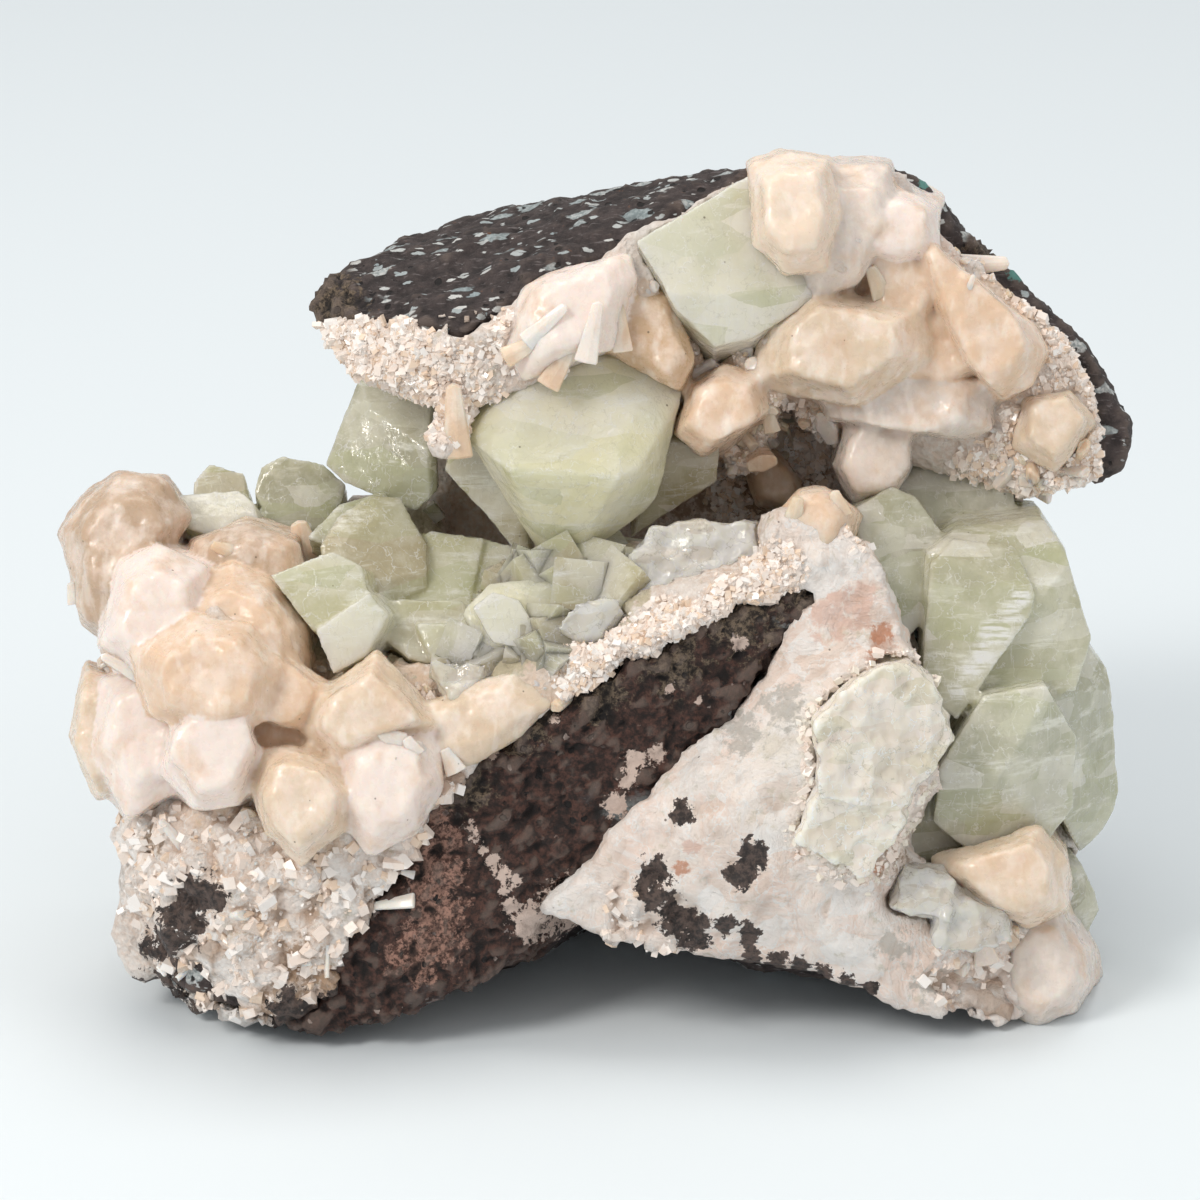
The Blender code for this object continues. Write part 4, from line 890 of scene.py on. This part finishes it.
def single(hosts, template, across, up, length, width, turn_in_view, tone):
    """A blade laid against the surface that shows at a place in the view."""
    eye = (VIEW_MIDDLE + EYE) * MM
    towards = (seen(across, up, 0) - eye).normalized()
    hits = [host.ray_cast(eye, towards) for host in hosts]
    near = min((hit for hit in hits if hit[0]), key=lambda hit: hit[3], default=None)
    if near is None:
        return None
    points, faces = template
    up_in_view = Vector((0, math.sin(EYE_TILT), math.cos(EYE_TILT)))
    along = Matrix.Rotation(math.radians(-turn_in_view), 3, towards) @ up_in_view
    along = (along - towards * TOWARDS_VIEW).normalized()
    side = along.cross(-towards).normalized()
    turn = np.array(Matrix((side, along.cross(side) * -1, along)).transposed())
    shape = points * np.array([width, width, length / 2])
    middle = np.array(near[0]) - np.array(towards) * width * SINGLE_SINK * MM
    return shape @ turn.T + middle, faces, tone


blade = blade_shape()
surfaces = [BVHTree.FromPolygons([vertex.co for vertex in host.data.vertices],
                                 [polygon.vertices[:] for polygon in host.data.polygons])
            for host in (bed, roof, *stilbite_groups)]
laid = [single(surfaces, blade, *values) for values in SINGLE_BLADES]
blades = [copy for copy in laid if copy]
blades += scattered(bed, blade, 300, 1.4, 4.5, "peach", 1.1, 0.7, BLADE_TONES, BLADE_SEED)
blades += scattered(bed, blade, 130, 1.2, 3.0, "broken", 0.9, 0.8, BROKEN_TONES, BLADE_SEED + 1)
blades += scattered(roof, blade, 420, 1.4, 5.5, "peach", 1.1, 0.6, BLADE_TONES, BLADE_SEED + 2)
blade_group = many("stilbite_blades", blades)
blade_group.data.materials.append(satin)
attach(blade_group, "root")


# Druse: a sugar of small white to pink crystals over parts of the crust. One crystal is shaped from a cube,
# a block with a sloping roof, and copied in many sizes and turns, its root sunk into the crust.

GRAIN_SEED = 7
GRAIN_TONES = [(0.93, 0.84, 0.77), (0.90, 0.77, 0.68), (0.95, 0.90, 0.86), (0.86, 0.75, 0.67),
               (0.82, 0.65, 0.51)]


def small_crystal():
    """One crystal a millimetre wide: its points and faces."""
    bpy.ops.object.select_all(action="DESELECT")
    bpy.ops.mesh.primitive_cube_add(size=MM)
    obj = bpy.context.object
    bpy.ops.object.mode_set(mode="EDIT")
    bpy.ops.mesh.select_all(action="SELECT")
    bpy.ops.transform.resize(value=(1.0, 0.72, 1.3))
    bpy.ops.object.mode_set(mode="OBJECT")
    for vertex in obj.data.vertices:
        if vertex.co.z > 0:
            vertex.co.z -= 0.4 * MM if vertex.co.x > 0 else 0.0
            vertex.co.x *= 0.8
    points = places_of(obj).copy()
    faces = [list(polygon.vertices) for polygon in obj.data.polygons]
    bpy.data.objects.remove(obj, do_unlink=True)
    return points, faces


sugar, tree, shader = new_material("sugar grains")
place = object_place(tree)
colour = layered(tree, crystal_colour(tree),
                 [(noise_of(tree, place, 1.6, 4), 0.5, 0.7, 0.5, (0.94, 0.92, 0.90, 1))])
tree.links.new(colour, shader.inputs["Base Color"])
tree.links.new(ramp(tree, noise_of(tree, place, 1.0, 3), 0.3, 0.7, 0.05, 0.35), shader.inputs["Roughness"])
grain = small_crystal()
for name, host, parts in (("druse_of_the_bed", bed, (("sugary", 5200, 0.3, 1.2), ("broken", 900, 0.4, 1.9))),
                          ("druse_of_the_roof", roof, (("sugary", 5600, 0.3, 1.3), ("peach", 900, 0.25, 0.8)))):
    copies = []
    for kind, count, smallest, largest in parts:
        copies += scattered(host, grain, count, smallest, largest, kind, 0.5, 0.1, GRAIN_TONES, GRAIN_SEED)
    grains = many(name, copies)
    grains.data.materials.append(sugar)
    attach(grains, "root")


# The apophyllites: flat-faced, glassy and pale yellow-green, milky inside. Each crystal is cut from a block
# by the planes through its corners. Crystals that have grown into each other share one skin. A crystal is
# known by its corners, how far its root runs back, and its colour.

CRYSTAL_SKIN = 0.36
YELLOW_GREEN = (0.87, 0.83, 0.59)
PALE_GREEN = (0.66, 0.63, 0.42)
# A darker copy of the pale green: painted shade for the broad crystals of the right side
SHADED_GREEN = (0.58, 0.56, 0.40)
GREY_GREEN = (0.50, 0.48, 0.35)
OLIVE = (0.54, 0.47, 0.31)
BLUE_GREEN = (0.57, 0.56, 0.43)
GREY_CLEAR = (0.97, 0.94, 0.89)
GREEN_WHITE = (0.88, 0.85, 0.72)
CLEAVED_WHITE = (0.86, 0.77, 0.68)
SMALL_TONES = [PALE_GREEN, GREY_GREEN, OLIVE, GREEN_WHITE]
CRUMB_TONES = [(0.90, 0.81, 0.74), (0.86, 0.80, 0.70), (0.88, 0.76, 0.68)]
CRUMB_REACH = 2.6
APOPHYLLITE_IOR = 1.535
# A bright striated band along the step on the largest crystal of the right side
BAND_PLACES = [(55, 0.2, -15, 2.2), (53.4, -2, -15, 2.6), (51.6, -4.4, -16, 2.8), (49.8, -6.8, -17, 2.6),
               (48, -9.4, -18, 2.2), (46.6, -12, -19, 1.8)]

CRYSTALS = {
    "apophyllite_roof_large": [
        ([(-11.5, 28.6, -7), (3.4, 32, -4), (8.1, 31.6, -3), (10.2, 28.4, -4), (7.7, 21.5, -10),
          (2.5, 15.8, -17), (-11.7, 16.7, -17), (-14, 20.5, -13), (7.9, 15.2, -10), (6.6, 12.2, -10),
          (-4.6, 3.4, -11), (-7.6, 5.5, -10), (-17.4, 21.2, -10), (-13.5, 26, -8)], (0, 12, 4), YELLOW_GREEN),
        ([(-18.5, 24, -7), (-20, 18, -7), (-15, 11, -7), (-9, 6, -6), (-12, 24, -8)], (1, 9, 2), OLIVE),
        ([(8, 21, -2), (15.6, 20, -1), (15.2, 15.5, 0), (10, 12, 0), (4, 8, -2)], (0, 10, 2), OLIVE),
    ],
    "apophyllite_roof_upper": [
        ([(5.2, 47, -5), (11, 49.6, -2), (20.5, 56, 3), (21, 46, -1), (28, 43, -2), (27.5, 39, -4),
          (20, 34, -6), (15, 33, -7), (11.5, 36.5, -8), (8.5, 40.5, -8)], (0, 10, -6), GREEN_WHITE),
    ],
    "apophyllite_back_left": [
        ([(-30.8, 30, 8), (-33.5, 21.8, 5), (-35.7, 17.7, 3), (-34.4, 16.4, 1), (-30, 13.9, -2),
          (-25.5, 13.8, -3), (-23.6, 12, -3), (-21.9, 13.5, -3), (-21.3, 17.8, -2), (-22, 30, 8),
          (-30.5, 24.7, 3), (-22.3, 19.5, -3)], (0, 8, -2), GREY_GREEN),
    ],
    "apophyllite_bed_back": [
        ([(-54.8, 13.5, 0), (-47, 14.3, 1), (-44.9, 12.4, 0), (-43.6, 7.4, -4), (-49.7, 7.8, -5),
          (-54.5, 9.6, -3), (-55.3, 12.1, -1)], (2, 7, -6), GREEN_WHITE),
        ([(-52.9, 15.2, 6), (-50.8, 17.6, 8), (-46.4, 16.5, 8), (-45, 10, 5), (-53, 11, 4)], (1, 5, -6), OLIVE),
        ([(-45, 14, 5), (-44.1, 17.4, 7), (-41.3, 18.8, 7), (-36.1, 17.7, 8), (-33, 15, 7), (-35, 9, 3),
          (-42, 9, 3)], (0, 8, -6), GREY_GREEN),
    ],
    "apophyllite_bed_front": [
        ([(-39, 4.4, -20), (-35, 6.3, -19), (-31, 4.4, -19), (-30, 0.2, -21), (-31, -1.3, -22), (-37, -4, -24),
          (-40.5, 0, -23), (-42.5, 3.2, -21)], (2, 8, -5), PALE_GREEN),
        ([(-37, -4, -25), (-30, 1, -21.5), (-27.5, -2, -22), (-31, -4, -24), (-30.5, -7.4, -25),
          (-34.7, -9.7, -26.5)], (2, 8, -3), GREEN_WHITE),
        ([(-36.5, 7, -13), (-34, 11, -9), (-30, 13.6, -6), (-26, 13.4, -6), (-22.5, 7, -9), (-22.6, 1.4, -13),
          (-27.6, -0.8, -15.5), (-33, 1.6, -17), (-36, 4, -15)], (1, 8, -6), OLIVE),
        ([(-21, 5, -8), (-17, 8.6, -6), (-10.5, 6.5, -7), (-8.5, 3, -9), (-9, -1, -13), (-16, -3, -15),
          (-21, -1, -13)], (0, 8, -7), PALE_GREEN),
        ([(-28.5, 0, -16), (-18, 0, -16), (-14, -5, -18), (-17.5, -9.4, -21), (-25, -7.5, -21), (-29, -4, -18)],
         (0, 8, -6), OLIVE),
        ([(-17.8, -1.5, -20.5), (-14.5, 2.3, -17.5), (-6, 3, -17.5), (-2.5, 1.6, -18.5), (-5, -5, -21.5),
          (-11, -8.5, -23.5), (-16, -5, -22.5)], (0, 8, -7), YELLOW_GREEN),
        ([(-6, 0.8, -11), (-1, 4.6, -10), (3.5, 5.6, -10), (4, 1, -13), (-3, 0, -15)], (-2, 7, -7), OLIVE),
        ([(-24, -3, -19), (-14, -3, -19), (-9, -8, -21.5), (-13, -11, -23.5), (-21, -9.6, -23)], (0, 7, -5),
         PALE_GREEN),
        ([(-11, 3.5, -13), (-3, 5, -12), (3, 2, -15), (1, -2, -17), (-8, -1.5, -17)], (0, 7, -5), PALE_GREEN),
        ([(-38, 8, -10), (-34, 12.5, -6), (-28, 14, -3), (-25, 10, -6), (-31, 5, -12)], (0, 7, -6), GREY_GREEN),
        ([(-28, 6, -9), (-22, 9, -7), (-15, 8, -7), (-17, -1, -14), (-27, 0, -13.5)], (0, 8, -6), PALE_GREEN),
        ([(-16.5, -1, -23), (-14, 1, -21.8), (-10.6, 0, -22), (-8.2, -4, -23.5), (-9, -6.6, -24.5),
          (-14, -5.6, -24.5)], (0, 4, -2), GREEN_WHITE),
    ],
    "apophyllite_clear_block": [
        ([(4, 5.5, -18), (6.3, 9, -16), (10, 10.2, -15), (20.5, 10.3, -14), (20.3, 4, -18), (14, 0.5, -20),
          (4.2, -0.5, -21)], (0, 8, -4), GREY_CLEAR),
    ],
    "apophyllite_clear_tablets": [
        ([(-5.5, -4, -25), (-3, 0, -24), (2, 0, -23), (3.5, -1.5, -23), (-1, -5.5, -25)],
         (1, 4, -5), GREY_CLEAR),
    ],
    "apophyllite_corner_tablet": [
        ([(-22, -8.2, -26), (-14.4, -8.2, -25.5), (-18, -14, -28.5), (-20, -12, -28)], (0, 3, -3), GREEN_WHITE),
    ],
    "apophyllite_right_heap": [
        ([(33, 12, -6), (38, 14.7, -4), (41, 13.5, -4), (46, 7, -6), (44, -1, -12), (40, -5, -14),
          (34, 4, -12)], (0, 10, -3), GREY_GREEN),
        ([(44, 7, -11), (45.5, 8.5, -8), (54, 10.6, -4), (58, 10.3, -5), (60.5, 6.5, -9), (64, -5, -12),
          (62, -12, -15), (56.2, -1.3, -15), (45.7, -13.7, -17), (43, -13, -17), (42, -4, -14)], (0, 12, -2),
         SHADED_GREEN),
        ([(44.5, 6, -12.8), (46, 8, -10), (54, 7, -9.5), (56.8, 0.5, -15.5), (56.2, -2, -16.5),
          (46.5, -15.5, -19.5), (43, -13, -18.8), (42.4, -4, -15.8)], (0, 12, -2), SHADED_GREEN),
        ([(62, -4, -6), (66, -9, -5), (67.6, -25, -5), (65.5, -30, -6), (62.5, -33, -8), (60, -28, -15),
          (58, -12, -17)], (-2, 14, 0), BLUE_GREEN),
        ([(50, -12.5, -21), (58, -11, -20), (62, -18, -18), (61.5, -27, -18), (57, -33, -20), (49, -33.5, -23),
          (43.5, -29, -24), (44, -22, -24), (52, -23, -25)], (0, 12, -2), BLUE_GREEN),
        ([(38, -23, -22), (44, -20, -20), (47, -32, -20), (42, -36, -22), (37, -30, -23)],
         (0, 9, -2), GREY_GREEN),
        ([(39.2, 18.6, 9), (49, 20, 7), (52, 18.4, 6), (53.6, 15.6, 4), (54.2, 11, 3), (49, 9, 2), (44, 8.5, 2),
          (41, 12, 3), (38.5, 15, 5)], (0, 9, 0), GREY_GREEN),
    ],
    "apophyllite_right_edge": [
        ([(60.2, -33.5, -8), (63, -34.5, -8), (65.2, -40.5, -9), (62.5, -45, -12), (60, -43.5, -15),
          (60, -36, -14)], (-3, 10, 1), GREY_GREEN),
    ],
    "apophyllite_cleaved": [
        ([(28, -16, -37), (31.8, -11.8, -34.5), (37, -8.6, -31), (40.4, -8.2, -29), (43, -10.7, -28),
          (45.8, -18.4, -29), (39.2, -27.7, -35), (28.5, -25.6, -38)], (0, 9, -2), CLEAVED_WHITE),
        ([(28.5, -25, -38), (39.1, -27, -35), (39.8, -29, -35), (35, -36, -37), (30, -34, -38.5),
          (26, -30.6, -39)], (0, 9, 0), CLEAVED_WHITE),
    ],
    "apophyllite_step_blocks": [
        ([(39.6, -34.6, -30), (45.2, -34.9, -29), (46.5, -37, -31), (45.5, -42, -34), (38, -40, -34)],
         (0, 5, -2), GREY_CLEAR),
        ([(44, -37.5, -32), (50, -39.6, -30), (53.3, -40.8, -29), (53.6, -44.5, -31), (49.3, -46, -33.5),
          (43.5, -45, -35)], (0, 8, 0), GREY_CLEAR),
    ],
}
CRACKED = ("apophyllite_clear_block", "apophyllite_clear_tablets", "apophyllite_corner_tablet",
           "apophyllite_step_blocks", "apophyllite_cleaved")


def crystal_group(node):
    """The crystals of one node in one skin, with slightly uneven faces and softened edges."""
    parts, known = [], []
    for corners, root, colour in CRYSTALS[node]:
        in_front = [seen(*corner) for corner in corners]
        points = in_front + [point + Vector(root) * MM for point in in_front]
        planes = flat_faces(points)
        parts.append(cut_crystal(planes, sum(points, Vector()) / len(points)))
        known.append((planes, colour))
    obj = grown_together(parts, node.replace("apophyllite", "crystals"), CRYSTAL_SKIN)
    colour_crystals(obj, known, PALE_GREEN)
    roughen(obj, "CLOUDS", 5.0, 0.6)
    roughen(obj, "CLOUDS", 1.3, 0.2)
    if node in CRACKED:
        roughen(obj, "VORONOI", 3.2, 1.3)
        roughen(obj, "VORONOI", 1.5, 0.5)
    know_hollows(obj, 0.35, 12)
    store(obj, "band", strength_of(obj, BAND_PLACES))
    return obj


def glassy(name, transmission, density, absorb, milk, milk_colour, core, cracks, pane_size, depth_of_light):
    """Apophyllite: glass with milky clouds inside, painted light on its edges, and fine lines and cracks along
    its cleavage.
    """
    made, tree, shader = new_material(name)
    place = object_place(tree)
    panes = wobble(tree, object_place(tree, turn=(0.5, 0.7, 0.2), scale=(0.55, 0.8, 1.7)), 4.0, 1.5)
    pane = cells_of(tree, panes, pane_size)[1]
    colour = layered(tree, crystal_colour(tree), [
        (noise_of(tree, place, 10.0, 3, 0.5), 0.52, 0.72, 0.5, core),
        (noise_of(tree, place, 7.0, 6, 0.62), 0.42, 0.64, milk, milk_colour),
        (pane["Red"], 0.45, 1.0, 0.5, (0.96, 0.93, 0.85, 1)),
        (pane["Green"], 0.5, 1.0, 0.2 + 0.5 * cracks, core),
    ])
    striations = noise_of(tree, object_place(tree, turn=(0.1, 0.7, 0.3), scale=(0.2, 1.0, 2.4)), 1.2, 4, 0.6)
    band = times(tree, zone(tree, "band", place, 3.0, 0.3, 0.1, 0.7), ramp(tree, striations, 0.36, 0.56))
    colour = mix(tree, band, colour, (0.97, 0.96, 0.91, 1))
    veils = noise_of(tree, object_place(tree, turn=(0.3, 0.6, 0.2), scale=(0.35, 0.7, 2.2)), 4.0, 7, 0.72)
    lines = noise_of(tree, object_place(tree, turn=(0.2, 0.35, 0.1), scale=(2.0, 2.0, 0.12)), 0.9, 3, 0.5)
    # The ridge layer is painted light: paler edges and ridges
    colour = layered(tree, colour, [
        (veils, 0.52, 0.68, 0.8, (0.94, 0.93, 0.84, 1)),
        (lines, 0.60, 0.72, 0.3, (0.95, 0.95, 0.88, 1)),
        (attribute(tree, "ridge"), 0.15, 0.9, 0.7, (0.95, 0.95, 0.84, 1)),
    ])
    cracked = times(tree, curves(tree, wobble(tree, place, 1.5, 1.2), 3.0, 0.012), cracks)
    colour = mix(tree, cracked, colour, (0.97, 0.97, 0.95, 1))
    deep_cracks = times(tree, curves(tree, wobble(tree, place, 1.0, 1.5), 4.5, 0.008), 0.5 * cracks)
    colour = mix(tree, deep_cracks, colour, (0.45, 0.42, 0.33, 1))
    specks = spots(tree, place, 2.6, 0.09, 0.3)[0]
    colour = mix(tree, times(tree, specks, 0.8), colour, (0.16, 0.13, 0.09, 1))
    sheen = ramp(tree, noise_of(tree, place, 2.0, 5, 0.6), 0.35, 0.7, 0.03, 0.20)
    height = maths(tree, "ADD", noise_of(tree, place, 3.0, 5, 0.6), times(tree, lines, 0.5))
    height = maths(tree, "ADD", height, times(tree, cracked, 0.6))
    lay_on(tree, shader, colour, sheen, height, 0.45, 0.35)
    shader.inputs["Transmission Weight"].default_value = transmission
    shader.inputs["IOR"].default_value = APOPHYLLITE_IOR
    shader.inputs["Subsurface Weight"].default_value = 0.6
    shader.inputs["Subsurface Scale"].default_value = depth_of_light * MM
    shader.inputs["Subsurface Radius"].default_value = (1.0, 1.0, 0.75)
    absorption = add(tree, "VolumeAbsorption", {"Color": absorb, "Density": density})
    tree.links.new(absorption.outputs[0], tree.nodes["Material Output"].inputs["Volume"])
    return made


green = glassy(
    "apophyllite", transmission=0.25, density=8.0, absorb=(0.86, 0.88, 0.66, 1), milk=0.6,
    milk_colour=(0.88, 0.85, 0.72, 1), core=(0.56, 0.58, 0.35, 1), cracks=0.5, pane_size=6.0,
    depth_of_light=4.0)
clear = glassy(
    "clear apophyllite", transmission=0.4, density=1.5, absorb=(0.97, 0.96, 0.93, 1), milk=0.8,
    milk_colour=(0.99, 0.92, 0.85, 1), core=(0.78, 0.70, 0.60, 1), cracks=1.0, pane_size=2.4,
    depth_of_light=0.8)
cleaved = glassy(
    "cleaved apophyllite", transmission=0.1, density=4.0, absorb=(0.96, 0.94, 0.88, 1), milk=0.7,
    milk_colour=(0.95, 0.86, 0.78, 1), core=(0.70, 0.65, 0.50, 1), cracks=1.0, pane_size=4.0,
    depth_of_light=2.0)
for node in CRYSTALS:
    crystals = crystal_group(node)
    if node == "apophyllite_cleaved":
        crystals.data.materials.append(cleaved)
    else:
        crystals.data.materials.append(clear if node in CRACKED else green)
    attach(crystals, "root")
    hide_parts(node)

small_ones = many("small_apophyllites",
                  scattered(bed, grain, 110, 3.0, 8.0, "green", 0.5, 0.1, SMALL_TONES, GRAIN_SEED + 1))
small_ones.data.materials.append(green)
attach(small_ones, "root")

# Pale crumbs along the borders of the cleaved crystals, which run into the crust
borders = []
for corners, _, _ in CRYSTALS["apophyllite_cleaved"]:
    for start, end in zip(corners, corners[1:] + corners[:1]):
        for part in (0.0, 0.2, 0.4, 0.6, 0.8):
            borders.append((*Vector(start).lerp(Vector(end), part), CRUMB_REACH))
store(bed, "border", strength_of(bed, borders))
crumbs = many("cleavage_crumbs",
              scattered(bed, grain, 1100, 0.3, 1.3, "border", 0.7, 0.2, CRUMB_TONES, GRAIN_SEED + 2))
crumbs.data.materials.append(sugar)
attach(crumbs, "root")
